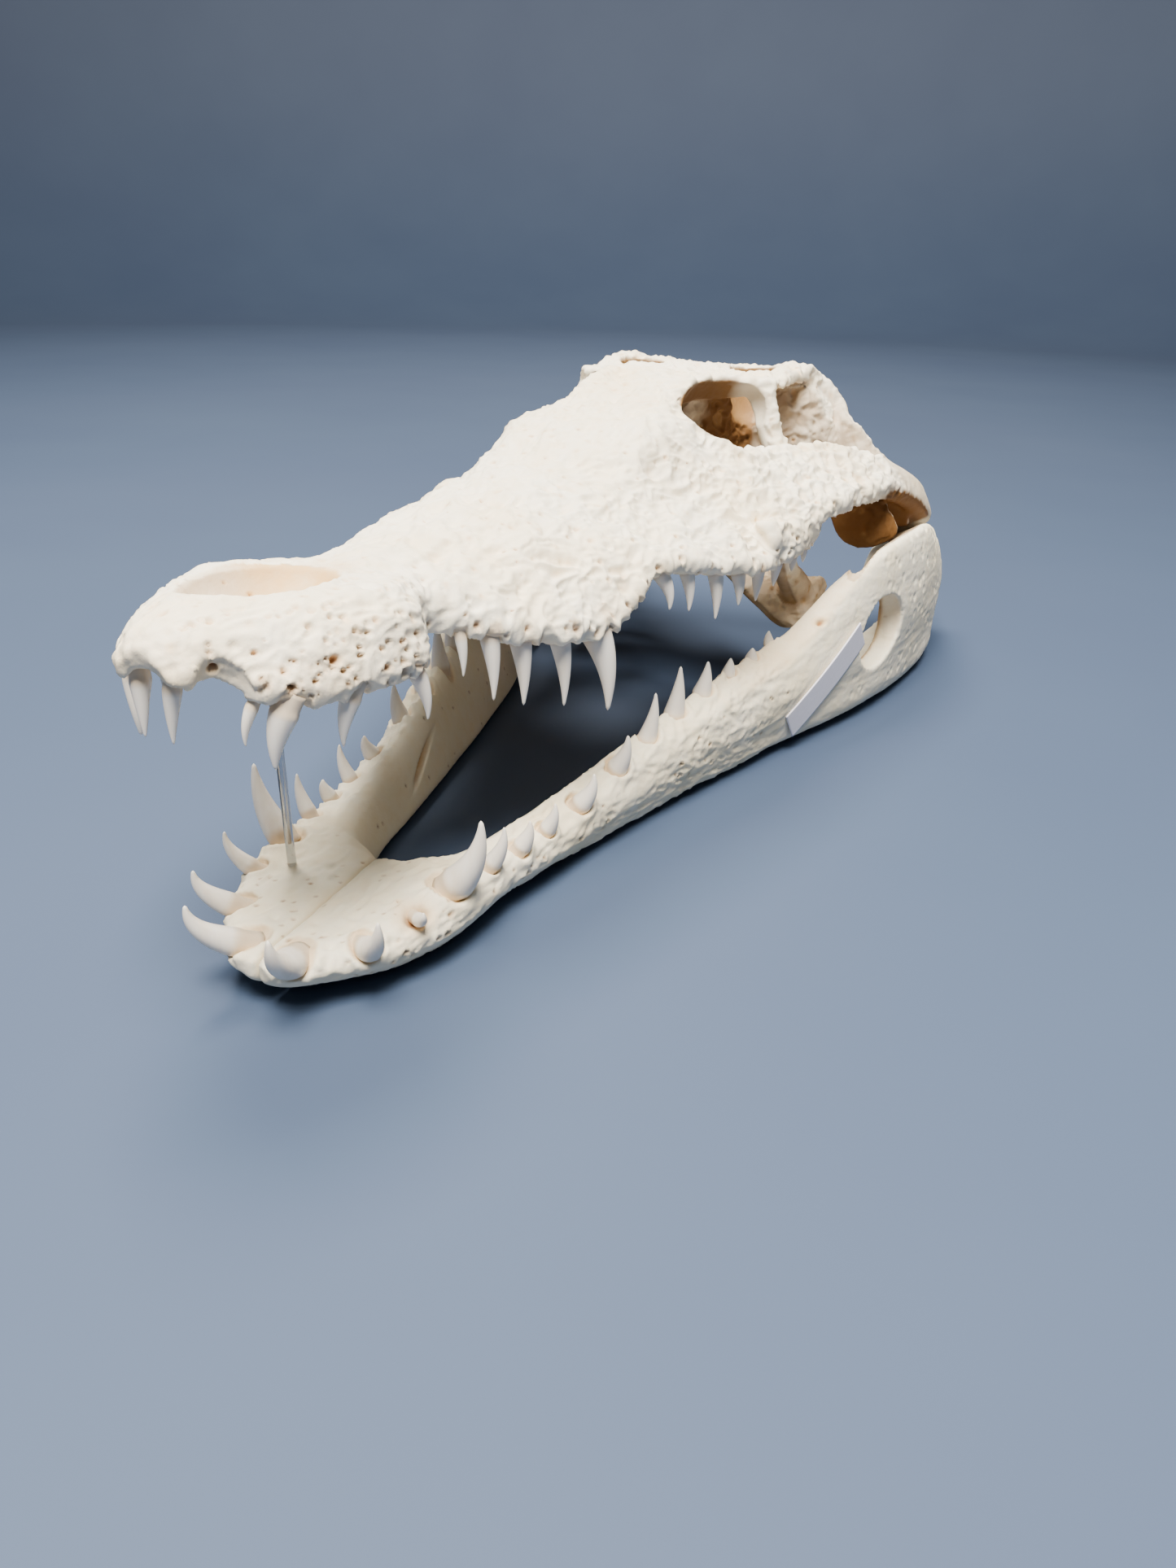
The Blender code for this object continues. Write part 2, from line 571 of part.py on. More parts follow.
def to_mesh(obj, group):
    graph = bpy.context.evaluated_depsgraph_get()
    mesh = bpy.data.meshes.new_from_object(obj.evaluated_get(graph))
    bm = bmesh.new()
    bm.from_mesh(mesh)
    bmesh.ops.remove_doubles(bm, verts=bm.verts, dist=0.00001)
    bmesh.ops.recalc_face_normals(bm, faces=bm.faces)
    bmesh.ops.triangulate(bm, faces=bm.faces)
    bm.to_mesh(mesh)
    bm.free()
    name = obj.name
    result = bpy.data.objects.new(name + "_mesh", mesh)
    result.matrix_world = obj.matrix_world.copy()
    bpy.data.objects.remove(obj, do_unlink=True)
    group.objects.link(result)
    return result


def bake(obj):
    """Replace an object's mesh by its evaluated one."""
    graph = bpy.context.evaluated_depsgraph_get()
    mesh = bpy.data.meshes.new_from_object(obj.evaluated_get(graph))
    obj.modifiers.clear()
    obj.data = mesh


def merge(objects, name, group):
    """One mesh out of several overlapping solids."""
    bm = bmesh.new()
    for obj in objects:
        bm.from_mesh(obj.data)
        bpy.data.objects.remove(obj, do_unlink=True)
    mesh = bpy.data.meshes.new(name)
    bm.to_mesh(mesh)
    bm.free()
    result = bpy.data.objects.new(name, mesh)
    group.objects.link(result)
    return result


def combine(target, tool, operation):
    mod = target.modifiers.new("combine", "BOOLEAN")
    mod.operation = operation
    mod.solver = "EXACT"
    mod.object = tool
    bake(target)


def fuse(obj, voxel, rounds):
    """Join overlapping bones into one skin and ease the creases."""
    mod = obj.modifiers.new("fuse", "REMESH")
    mod.mode = "VOXEL"
    mod.voxel_size = voxel * UNIT
    ease = obj.modifiers.new("ease", "SMOOTH")
    ease.factor = 0.5
    ease.iterations = rounds
    bake(obj)


def hollow_out(obj, holes, group):
    """Cut openings that overlap one another, joined into one cutter first."""
    cutter = merge(holes, "openings", group)
    fuse(cutter, VOXEL, 1)
    combine(obj, cutter, "DIFFERENCE")


def thin_out(obj, triangles):
    tri = obj.modifiers.new("tri", "TRIANGULATE")
    tri.quad_method = "BEAUTY"
    bake(obj)
    mod = obj.modifiers.new("thin", "DECIMATE")
    mod.ratio = triangles / len(obj.data.polygons)
    mod.use_collapse_triangulate = True
    bake(obj)


def keep_largest(obj):
    """Drop crumbs that an opening may leave loose."""
    bm = bmesh.new()
    bm.from_mesh(obj.data)
    left = set(bm.verts)
    islands = []
    while left:
        seed = left.pop()
        island = {seed}
        stack = [seed]
        while stack:
            v = stack.pop()
            for edge in v.link_edges:
                w = edge.other_vert(v)
                if w in left:
                    left.discard(w)
                    island.add(w)
                    stack.append(w)
        islands.append(island)
    islands.sort(key=len)
    crumbs = [v for island in islands[:-1] for v in island]
    bmesh.ops.delete(bm, geom=crumbs, context="VERTS")
    bm.to_mesh(obj.data)
    bm.free()


def slab(name, group):
    """Block under the floor that trims the jaw to a flat rest."""
    bm = bmesh.new()
    bmesh.ops.create_cube(bm, size=1.0)
    for v in bm.verts:
        v.co.z -= 0.5
    bmesh.ops.triangulate(bm, faces=bm.faces)
    mesh = bpy.data.meshes.new(name)
    bm.to_mesh(mesh)
    bm.free()
    obj = bpy.data.objects.new(name, mesh)
    group.objects.link(obj)
    return obj


def dress(obj, material):
    obj.data.materials.clear()
    obj.data.materials.append(material)


def upper_teeth(side):
    """Upper teeth of one side; on the right the second is lost and the first stands further out."""
    if side > 0.0:
        return UPPER_TEETH
    first = (UPPER_TEETH[0][0] + FIRST_RIGHT_OUT,) + UPPER_TEETH[0][1:]
    return (first,) + UPPER_TEETH[2:]


def build_cranium(group, tools):
    bones = [
        skin("snout", [snout_ring(r) for r in SNOUT], cranium_frame, group),
        skin("roof", [roof_ring(r) for r in ROOF], cranium_frame, group),
        skin("braincase", [braincase_ring(r) for r in BRAINCASE], cranium_frame, group),
        skin("palatine", bar_rings(PALATINE, 1.0), cranium_frame, group),
        opening("occipital_condyle", OCCIPITAL, 1.0, cranium_frame, group),
    ]
    for side in (1.0, -1.0):
        for label, rows in BARS:
            bones.append(skin(label, bar_rings(rows, side), cranium_frame, group))
        bones.append(skin("cheek", plate_rings(CHEEK, side), cranium_frame, group))
        bones.append(skin("quadrate", wing_rings(QUADRATE, side), cranium_frame, group))
        bones.append(skin("pterygoid", wing_rings(PTERYGOID, side), cranium_frame, group))
        bones.append(opening("condyle", (CONDYLE_CENTRE, CONDYLE_RADII, 0.0), side, cranium_frame, group))
    cranium = merge(bones, "cranium", group)
    fuse(cranium, VOXEL, 1)
    holes = [
        opening("naris", NARIS, 1.0, cranium_frame, tools),
        opening("spinal_hole", SPINAL_HOLE, 1.0, cranium_frame, tools),
    ]
    for side in (1.0, -1.0):
        for label, shape in PAIRED_OPENINGS:
            holes.append(opening(label, shape, side, cranium_frame, tools))
    hollow_out(cranium, holes, tools)
    fuse(cranium, VOXEL, 2)
    keep_largest(cranium)
    thin_out(cranium, CRANIUM_TRIS)
    socket = post("socket", ROD_FOOT, ROD_HEAD, ROD_RADIUS * UNIT + GAP, tools, ROD_SIDES)
    combine(cranium, socket, "DIFFERENCE")
    for side in (1.0, -1.0):
        for i, row in enumerate(upper_teeth(side)):
            tooth = horn("upper_tooth_%d" % i, row, side, cranium_frame, tools)
            combine(cranium, tooth, "UNION")
    return cranium


def build_jaw(name, side, group, tools):
    jaw = skin(name, [jaw_ring(r, side) for r in JAW], floor_frame, group)
    holes = [
        skin("hollow", [hollow_ring(r, side) for r in JAW_HOLLOW], floor_frame, tools),
        opening("window", JAW_WINDOW, side, floor_frame, tools),
        opening("slot", JAW_SLOT, side, floor_frame, tools),
        opening("joint", (CONDYLE_CENTRE, CONDYLE_RADII, 0.0), side, cranium_frame, tools, JOINT_ROOM),
    ]
    fuse(jaw, VOXEL, 1)
    hollow_out(jaw, holes, tools)
    fuse(jaw, VOXEL, 2)
    keep_largest(jaw)
    thin_out(jaw, JAW_TRIS)
    return jaw


def main():
    clear_scene()
    group = make_collection("crocodile_skull")
    tools = make_collection("cutters")
    cranium = build_cranium(group, tools)
    dress(cranium, make_material("cranium_bone", (0.86, 0.82, 0.72), 0.75))
    floor = slab("floor", tools)
    foot = (ROD_FOOT[0], ROD_FOOT[1], ROD_FOOT[2] + GAP / UNIT)
    head = (ROD_HEAD[0], ROD_HEAD[1], ROD_HEAD[2] - GAP / UNIT)
    rod = post("prop_rod", foot, head, ROD_RADIUS * UNIT, group, ROD_SIDES)
    dress(rod, make_material("prop_rod", (0.86, 0.89, 0.91), 0.05))
    for name, side in (("mandible_left", 1.0), ("mandible_right", -1.0)):
        jaw = build_jaw(name, side, group, tools)
        combine(jaw, floor, "DIFFERENCE")
        if side > 0.0:
            seat = sheet("seat", [a * UNIT + 2.0 * GAP for a in LABEL_SIZE], SEAT_DEPTH * UNIT, 0.0, tools)
            combine(jaw, seat, "DIFFERENCE")
        else:
            socket = post("socket", ROD_FOOT, ROD_HEAD, ROD_RADIUS * UNIT + GAP, tools, ROD_SIDES)
            combine(jaw, socket, "DIFFERENCE")
        for i, row in enumerate(LOWER_TEETH):
            tooth = horn("lower_tooth_%d" % i, row, side, floor_frame, tools)
            combine(jaw, tooth, "UNION")
        dress(jaw, make_material(name + "_bone", (0.86, 0.81, 0.70), 0.75))
    label = sheet("specimen_label", [a * UNIT for a in LABEL_SIZE], LABEL_THICKNESS, GAP, group)
    dress(label, make_material("specimen_label", (0.88, 0.87, 0.90), 0.80))
    for obj in list(tools.objects):
        bpy.data.objects.remove(obj, do_unlink=True)


main()
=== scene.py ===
# Crocodile skull specimen: detailed bones, teeth, prop rod and label.
# Metres, +Z up, snout towards -Y.
import math

import bmesh
import bpy
import numpy as np
from mathutils import Matrix, Vector
from mathutils.bvhtree import BVHTree


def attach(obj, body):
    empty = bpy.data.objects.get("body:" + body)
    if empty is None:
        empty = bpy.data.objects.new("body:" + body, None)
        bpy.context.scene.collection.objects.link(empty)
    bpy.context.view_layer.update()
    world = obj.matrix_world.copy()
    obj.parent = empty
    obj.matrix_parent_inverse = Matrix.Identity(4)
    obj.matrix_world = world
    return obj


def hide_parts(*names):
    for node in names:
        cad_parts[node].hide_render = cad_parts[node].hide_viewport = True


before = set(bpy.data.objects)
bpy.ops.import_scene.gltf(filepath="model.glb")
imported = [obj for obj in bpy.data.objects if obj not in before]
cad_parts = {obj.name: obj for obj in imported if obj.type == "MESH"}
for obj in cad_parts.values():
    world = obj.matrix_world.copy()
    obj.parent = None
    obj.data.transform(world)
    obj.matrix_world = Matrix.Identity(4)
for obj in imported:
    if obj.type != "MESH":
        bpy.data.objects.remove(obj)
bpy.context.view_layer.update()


def parts_of(whole, *rows):
    """Rows of whole numbers, each divided by the same number."""
    return tuple(tuple(value / whole for value in row) for row in rows)


# ---- driving dimensions, in skull units unless said otherwise -----------------------------------
UNIT = 0.370                # m in one skull unit
FLOOR_CENTRE_Y = 0.586      # y that becomes 0 in metres
HINGE = (1.075, 0.1772)     # y and z of the jaw joint over the floor
CONDYLE = (1.100, 0.010)    # y and z of the same point in the cranium's own frame
GAPE = math.radians(4.49)   # nose-up turn of the cranium about the joint
SHIFT = -0.0035             # of the cranium to its right
COARSE = 0.0032             # cell of the first remesh, which joins the bones
CRANIUM_CELL = 0.00170     # cells of the last remesh
JAW_CELL = 0.00205
HALF_GAP = 0.0004           # half the seam between the lower jaw's halves
STEP = 0.004                # between the sections of a loft
ROUNDING = 5                # points of a smooth ring for each corner of its section

# Cranium sections from the snout tip back:
# y, half width, margin z, flank x, z, shoulder x, z, top z, palate z
SNOUT = parts_of(
    1000,
    (2, 18, 7, 14, 20, 8, 26, 28, 18),
    (14, 34, 3, 28, 22, 18, 34, 38, 14),
    (41, 57, -2, 50, 21, 38, 36, 48, 12),
    (62, 69, -9, 62, 26, 48, 39, 51, 11),
    (95, 83, -7, 75, 31, 57, 45, 51, 11),
    (125, 89, -6, 80, 35, 61, 47, 50, 11),
    (152, 86, -4, 77, 35, 58, 46, 47, 11),
    (176, 72, 1, 66, 34, 50, 44, 46, 12),
    (195, 60, 5, 56, 31, 45, 41, 47, 12),
    (213, 65, 3, 58, 30, 42, 40, 48, 12),
    (236, 80, -1, 66, 30, 42, 41, 50, 12),
    (275, 101, -11, 79, 28, 50, 44, 55, 12),
    (315, 117, -15, 88, 29, 56, 52, 62, 12),
    (352, 129, -18, 95, 34, 58, 58, 69, 13),
    (382, 132, -4, 99, 41, 60, 61, 74, 15),
    (412, 135, 12, 102, 46, 60, 69, 80, 18),
    (446, 142, 20, 105, 48, 61, 76, 87, 21),
    (484, 155, 16, 110, 53, 63, 83, 97, 20),
    (521, 168, 12, 108, 64, 64, 104, 113, 20),
    (558, 180, 9, 105, 76, 68, 120, 127, 20),
    (596, 189, 8, 118, 77, 74, 127, 136, 22),
    (633, 195, 10, 133, 76, 79, 130, 145, 26),
    (668, 198, 22, 147, 82, 83, 139, 151, 34),
)
# Skull roof behind the snout: y, half width, under z, edge z, top z
ROOF = parts_of(
    1000,
    (600, 60, 105, 130, 136),
    (650, 60, 124, 151, 150),
    (700, 58, 140, 168, 161),
    (750, 62, 146, 172, 168),
    (782, 98, 150, 170, 172),
    (808, 116, 152, 172, 176),
    (860, 116, 155, 180, 180),
    (905, 119, 156, 186, 181),
    (940, 121, 157, 188, 180),
    (958, 112, 158, 184, 179),
    (968, 80, 160, 176, 176),
)
# Braincase: y, half width, under z, half width where it meets the roof, top z
BRAINCASE = parts_of(
    1000,
    (770, 20, 40, 30, 160),
    (830, 36, 20, 50, 165),
    (900, 46, -5, 66, 170),
    (950, 44, -20, 90, 166),
    (970, 30, -4, 70, 150),
)
# Cheek wall of the left side: y, upper x, upper z, lower x, lower z, thickness
CHEEK = parts_of(
    1000,
    (612, 100, 88, 176, 26, 14),
    (656, 104, 104, 190, 33, 16),
    (700, 110, 103, 201, 41, 18),
    (745, 120, 99, 208, 49, 19),
    (790, 134, 101, 215, 53, 19),
    (840, 152, 102, 224, 57, 19),
    (890, 176, 98, 232, 57, 20),
    (940, 200, 88, 240, 50, 21),
    (990, 221, 76, 248, 38, 22),
    (1040, 236, 60, 255, 20, 22),
    (1086, 240, 40, 256, 4, 22),
)
# Bars of the left side: (x, y, z, half thickness across, half height) along each bar
MAXILLA_REAR = parts_of(
    1000,
    (176, 590, 30, 14, 20),
    (184, 650, 30, 13, 19),
    (187, 700, 34, 12, 18),
    (192, 735, 44, 10, 14),
)
POSTORBITAL = parts_of(
    1000,
    (98, 802, 166, 16, 18),
    (109, 798, 135, 14, 13),
    (123, 797, 104, 14, 13),
    (152, 794, 84, 14, 15),
)
QUADRATE_CREST = parts_of(
    1000,
    (108, 935, 172, 14, 18),
    (124, 968, 158, 11, 18),
    (140, 976, 136, 12, 20),
    (168, 955, 108, 12, 20),
    (200, 962, 78, 12, 20),
    (226, 995, 58, 13, 20),
    (240, 1050, 36, 14, 20),
)
ECTOPTERYGOID = parts_of(
    1000,
    (178, 640, 36, 14, 12),
    (166, 700, 22, 13, 12),
    (160, 752, -12, 12, 13),
    (162, 806, -48, 13, 16),
    (166, 850, -66, 13, 18),
)
QUADRATE_FLANGE = parts_of(
    1000,
    (150, 935, 78, 8, 20),
    (168, 936, 58, 8, 25),
    (186, 938, 36, 8, 28),
    (204, 941, 14, 8, 31),
    (220, 945, 18, 7, 30),
    (234, 951, 28, 6, 24),
)
PALATINE = parts_of(
    1000,
    (0, 420, 34, 46, 20),
    (0, 520, 30, 36, 15),
    (0, 640, 30, 33, 14),
    (0, 760, 30, 36, 15),
    (0, 850, 24, 44, 18),
)
# Wing plates across the left side: x, front y, rear y, under z, top z
QUADRATE = parts_of(
    1000,
    (30, 880, 960, 60, 166),
    (80, 890, 980, 70, 168),
    (125, 912, 1010, 56, 156),
    (170, 950, 1070, 16, 92),
    (210, 985, 1092, 6, 66),
    (244, 1020, 1092, 6, 46),
)
PTERYGOID = parts_of(
    1000,
    (0, 790, 925, 6, 34),
    (40, 785, 925, -12, 12),
    (85, 785, 920, -44, -22),
    (125, 790, 915, -76, -50),
    (158, 800, 905, -98, -52),
    (181, 828, 885, -80, -46),
)
CONDYLE_CENTRE = (0.213, 1.082, 0.006)
CONDYLE_RADII = (0.046, 0.020, 0.017)
OCCIPITAL = ((0.000, 0.978, 0.052), (0.020, 0.024, 0.018), 0.0)
# Openings of the cranium: centre, radii, lean about the fore-and-aft axis in degrees
NARIS = ((-0.0095, 0.1130, 0.064), (0.0425, 0.0625, 0.044), 0.0)
JAW_NOTCH = ((0.047, 0.0175, -0.003), (0.027, 0.0175, 0.040), 0.0)
ORBIT = ((0.087, 0.722, 0.138), (0.040, 0.078, 0.050), -52.0)
SOCKET_FLOOR = ((0.086, 0.705, 0.070), (0.036, 0.056, 0.068), 0.0)
PALATE_HOLE = ((0.094, 0.640, 0.016), (0.042, 0.125, 0.046), 0.0)
TEMPLE = ((0.068, 0.868, 0.172), (0.026, 0.036, 0.060), 0.0)
SPINAL_HOLE = ((0.000, 0.975, 0.087), (0.019, 0.040, 0.015), 0.0)
# Larger nerve holes of the premaxilla: y, z, radius
PREMAXILLA_HOLES = parts_of(
    10000,
    (230, 190, 40), (470, 60, 44), (650, 80, 30), (770, 180, 34), (890, 70, 28), (400, 260, 26),
    (730, 190, 24), (970, 220, 28), (1120, 80, 26), (1260, 200, 30), (1380, 100, 28),
    (1500, 220, 24), (560, 200, 22), (1060, 300, 22),
)
# Lower jaw: y, inner x low and high, outer x low and high, under z, outer top z, inner top z
JAW = parts_of(
    1000,
    (32, 0, 0, 9, 18, 26, 41, 42),
    (44, 0, 0, 16, 36, 17, 44, 45),
    (62, 0, 0, 24, 52, 10, 45, 46),
    (80, 0, 0, 31, 66, 5, 46, 47),
    (100, 0, 0, 45, 77, 1, 49, 48),
    (125, 0, 0, 57, 87, -2, 53, 49),
    (150, 0, 0, 66, 93, -3, 57, 51),
    (172, 0, 0, 70, 95, -2, 57, 52),
    (189, 2, 6, 72, 96, 0, 55, 53),
    (200, 22, 32, 74, 96, 2, 53, 54),
    (218, 36, 49, 77, 97, 4, 51, 56),
    (260, 50, 63, 86, 105, 5, 50, 60),
    (305, 58, 74, 97, 112, 5, 53, 64),
    (350, 67, 86, 110, 122, 5, 59, 72),
    (420, 83, 103, 129, 140, 4, 74, 86),
    (500, 100, 122, 152, 165, 4, 89, 99),
    (570, 117, 137, 176, 188, 4, 99, 108),
    (640, 135, 154, 199, 212, 4, 112, 117),
    (690, 151, 170, 219, 230, 4, 140, 126),
    (740, 170, 188, 239, 248, 4, 172, 142),
    (800, 190, 204, 257, 267, 3, 194, 151),
    (870, 202, 214, 271, 280, 0, 199, 148),
    (930, 202, 214, 279, 287, -3, 197, 140),
    (985, 198, 204, 285, 289, -1, 188, 140),
    (1030, 204, 182, 285, 289, 2, 172, 146),
    (1080, 208, 178, 279, 284, 14, 160, 150),
    (1120, 214, 192, 268, 273, 40, 152, 148),
    (1155, 222, 210, 256, 261, 74, 152, 148),
    (1178, 230, 222, 246, 248, 108, 146, 142),
)
SPLENIAL_GROOVE = parts_of(10000,
    (-701, 3235, 209), (-777, 3554, 352), (-859, 3907, 494), (-918, 4153, 580), (-964, 4353, 656),
    (-1019, 4604, 735))
JAW_FORAMEN = (0.2145, 0.6876, 0.1353)
JAW_WINDOW = ((0.262, 0.795, 0.102), (0.062, 0.050, 0.043), 0.0)
JAW_SLOT = ((0.231, 0.860, 0.165), (0.015, 0.110, 0.100), 0.0)
JOINT_ROOM = 0.0035         # between the condyle and its socket in the lower jaw
# Hollow of the lower jaw, open on its inner side: reach outwards x, y, middle z, half height
JAW_HOLLOW = parts_of(
    1000,
    (205, 735, 85, 12),
    (225, 770, 84, 40),
    (240, 820, 80, 48),
    (254, 900, 76, 48),
    (260, 960, 72, 44),
    (260, 1010, 66, 38),
    (254, 1060, 60, 32),
    (244, 1095, 54, 24),
    (232, 1116, 52, 10),
)
HOLLOW_INNER = 0.120        # x of the hollow's open inner side
# Teeth: base x, y, z, then reach of the tip dx, dy, dz, then base width
UPPER_TEETH = parts_of(
    10000,
    (104, 135, 60, -20, -10, -345, 117),
    (450, 400, -40, -40, -50, -257, 84),
    (578, 520, -90, -50, -60, -362, 184),
    (745, 930, -70, -40, -50, -327, 138),
    (820, 1480, -40, 80, 40, -324, 126),
    (700, 2240, 20, 30, 10, -302, 92),
    (800, 2480, -30, 50, 10, -471, 153),
    (905, 2760, -90, 50, 10, -503, 176),
    (1045, 3130, -130, 70, 20, -540, 175),
    (1175, 3520, -160, 140, 50, -623, 253),
    (1300, 4460, 220, 130, 50, -327, 153),
    (1430, 4830, 190, 60, 20, -364, 143),
    (1575, 5210, 140, 50, 10, -438, 155),
    (1680, 5575, 100, 40, 10, -318, 144),
    (1770, 5950, 90, 10, 0, -323, 140),
    (1850, 6325, 110, -10, 0, -251, 120),
    (1900, 6695, 140, 10, 0, -179, 99),
    (1920, 7047, 180, 10, 0, -175, 84),
)
LOWER_TEETH = parts_of(
    10000,
    (220, 480, 430, 180, -320, 400, 220),
    (560, 820, 430, 240, -180, 350, 190),
    (720, 1220, 490, 200, -90, 321, 150),
    (790, 1620, 580, 230, 10, 572, 250),
    (860, 2050, 540, 120, 20, 345, 148),
    (920, 2420, 510, 60, -10, 230, 150),
    (970, 2780, 510, 90, 0, 275, 145),
    (1040, 3240, 550, 100, -10, 290, 170),
    (1120, 3830, 660, 120, 10, 360, 190),
    (1210, 4340, 770, 70, 20, 479, 185),
    (1300, 4810, 870, 40, 10, 499, 205),
    (1410, 5250, 940, 50, 10, 362, 190),
    (1530, 5700, 1000, 20, 0, 214, 148),
    (1640, 6120, 1050, 10, -10, 165, 135),
    (1710, 6550, 1100, -20, -10, 181, 121),
)
# Reach of the lower teeth where a side differs from the table: tooth number to dx, dy, dz, width
LEFT_LOWER = dict(zip((0, 1, 2, 3, 5, 7), parts_of(10000,
    (141, -379, 422, 240), (262, -182, 384, 195), (150, -120, 150, 115), (240, 25, 574, 262),
    (88, 16, 263, 155), (141, 28, 325, 180))))
RIGHT_LOWER = dict(zip((0, 1, 5, 6, 7, 8), parts_of(10000,
    (215, -273, 387, 220), (230, -169, 326, 190), (41, -49, 197, 145), (110, -5, 340, 149),
    (59, -69, 229, 170), (83, -10, 393, 200))))
CRATER = 2                  # lower left tooth that is only just coming through
FIRST_RIGHT_OUT = 0.0048    # how much further out the first upper tooth stands on the right
TOOTH_OUT = 0.70            # shares of its reach that a tooth has made sideways and upwards at
TOOTH_UP = 0.36             # the middle of its curve
TOOTH_ROOT = 0.012          # length of a tooth inside its bone
TOOTH_TAPER = 0.90          # share of its width that a tooth loses towards the tip
KEEL = (0.16, 0.045)        # width and height of a tooth's two keels, as shares of its radius

# Prop rod, and the label's middle, two directions, length and width
ROD_RADIUS = 0.0034
ROD_FOOT = (-0.0470, 0.1330, 0.0370)
ROD_HEAD = (-0.0490, 0.1330, 0.2640)
LABEL_CENTRE = (0.2271, 0.6889, 0.0733)
LABEL_ALONG = (0.287, 0.766, 0.574)
LABEL_ACROSS = (0.135, 0.560, -0.816)
LABEL_SIZE = (0.141, 0.036)
LABEL_THICKNESS = 0.0006    # m
LABEL_CLEAR = 0.00075       # m, between the label's face and the bone's fitted surface
LABEL_RAY = 0.03            # m, from which the bone is looked for
LABEL_GRID = (90, 26)
STAGE_REACH = 2.4           # m, where the floor starts to rise
STAGE_BEND = 0.9            # m, radius of the rise
STAGE_TOP = 2.2             # m

# Main heights and depths of the bone's relief
FINE_RELIEF = 0.00105
COARSE_RELIEF = 0.0021
BROAD_RELIEF = 0.0032
FOLD_RELIEF = 0.0024
DIMPLE_DEPTH = 0.0015
MESH_DEPTH = 0.0036
JAW_RIDGES = 0.0019
JAW_FINE = 0.0012
JAW_PIT_DEPTH = 0.0016
# Scattered pits on each side, and rows of nerve holes: height over the margin, gap, radius, jitter
SNOUT_PITS = 95
ROOF_PITS = 58
JAW_SIDE_PITS = 46
JAW_TOP_PITS = 26
HOLE_ROWS = parts_of(10000, (90, 165, 27, 45), (210, 270, 21, 75), (370, 440, 17, 110))

# Linear colours. Bone: pale, warm, tan for stains and for painted shade in hollows, dark for
# painted shade and stain in pits, deep for painted shade inside
CRANIUM_COLOURS = ((0.94, 0.86, 0.705), (0.90, 0.745, 0.50), (0.72, 0.46, 0.20),
                   (0.34, 0.15, 0.05), (0.20, 0.094, 0.026))
JAW_COLOURS = ((0.94, 0.86, 0.685), (0.90, 0.765, 0.51), (0.70, 0.45, 0.19),
               (0.30, 0.14, 0.05), (0.28, 0.16, 0.06))
ENAMEL_COLOURS = ((0.91, 0.85, 0.765), (0.81, 0.72, 0.60), (0.82, 0.765, 0.715), (0.62, 0.43, 0.22))
ROD_COLOURS = ((0.46, 0.49, 0.53), (0.60, 0.63, 0.66))
PAPER_COLOURS = ((0.78, 0.76, 0.85), (0.73, 0.71, 0.80), (0.74, 0.70, 0.70))
FLOOR_COLOURS = ((0.042, 0.066, 0.121), (0.047, 0.073, 0.129))
WORLD_COLOUR = (0.74, 0.74, 0.75, 1.0)
WORLD_STRENGTH = 0.17
LAMP_COLOUR = (1.0, 0.955, 0.87)
# Soft lights in metres: name, place, aim, size, watts, colour
LIGHTS = (
    ("key_light", (0.22, -0.62, 1.50), (0.0, -0.03, 0.05), (0.75, 0.75), 100.0, LAMP_COLOUR),
    ("top_light", (-0.45, 0.25, 1.60), (0.0, 0.05, 0.08), (0.60, 0.60), 41.0, LAMP_COLOUR),
    ("back_light", (-0.50, 1.20, 1.70), (-1.30, 3.10, 0.30), (1.20, 0.80), 58.0, (1.0, 0.90, 0.78)),
)
# Camera at the photo's place, in skull units, turned by yaw, pitch down and roll in radians
CAMERA_PLACE = (0.45553, -0.42922, 0.48685)
CAMERA_TURN = (0.42572, 0.45899, 0.03157)
FOCAL_PIXELS = 1336.0
PHOTO_HEIGHT = 1927.0
SENSOR = 36.0               # mm


# ---- numbers ------------------------------------------------------------------------------------
def ease(low, high, value):
    t = np.clip((value - low) / (high - low), 0.0, 1.0)
    return t * t * (3.0 - 2.0 * t)


def fade(low, high, value):
    return 1.0 - ease(low, high, value)


def bump(value, centre, width):
    return np.exp(-((value - centre) / width) ** 2)


def hash_bits(ix, iy, iz, seed):
    h = ix.astype(np.uint32) * np.uint32(374761393)
    h = h + iy.astype(np.uint32) * np.uint32(668265263)
    h = h + iz.astype(np.uint32) * np.uint32(2246822519)
    h = h + np.uint32((seed * 3266489917 + 374761) & 0xFFFFFFFF)
    h = (h ^ (h >> np.uint32(15))) * np.uint32(2246822519)
    h = (h ^ (h >> np.uint32(13))) * np.uint32(3266489917)
    return h ^ (h >> np.uint32(16))


def noise(points, seed):
    """Gradient noise, about -1 to 1."""
    cell = np.floor(points)
    f = (points - cell).astype(np.float32)
    cell = cell.astype(np.int32)
    u = f * f * f * (f * (f * 6.0 - 15.0) + 10.0)
    total = np.zeros(len(points), np.float32)
    for k in range(8):
        o = np.array([k & 1, (k >> 1) & 1, (k >> 2) & 1])
        h = hash_bits(cell[:, 0] + o[0], cell[:, 1] + o[1], cell[:, 2] + o[2], seed)
        g = np.stack([(h & 1023), (h >> np.uint32(10)) & 1023, (h >> np.uint32(20)) & 1023], 1)
        g = g.astype(np.float32) / 511.5 - 1.0
        w = np.prod(np.where(o == 1, u, 1.0 - u), axis=1)
        total += w * np.einsum("ij,ij->i", g, f - o.astype(np.float32))
    return total * 1.6


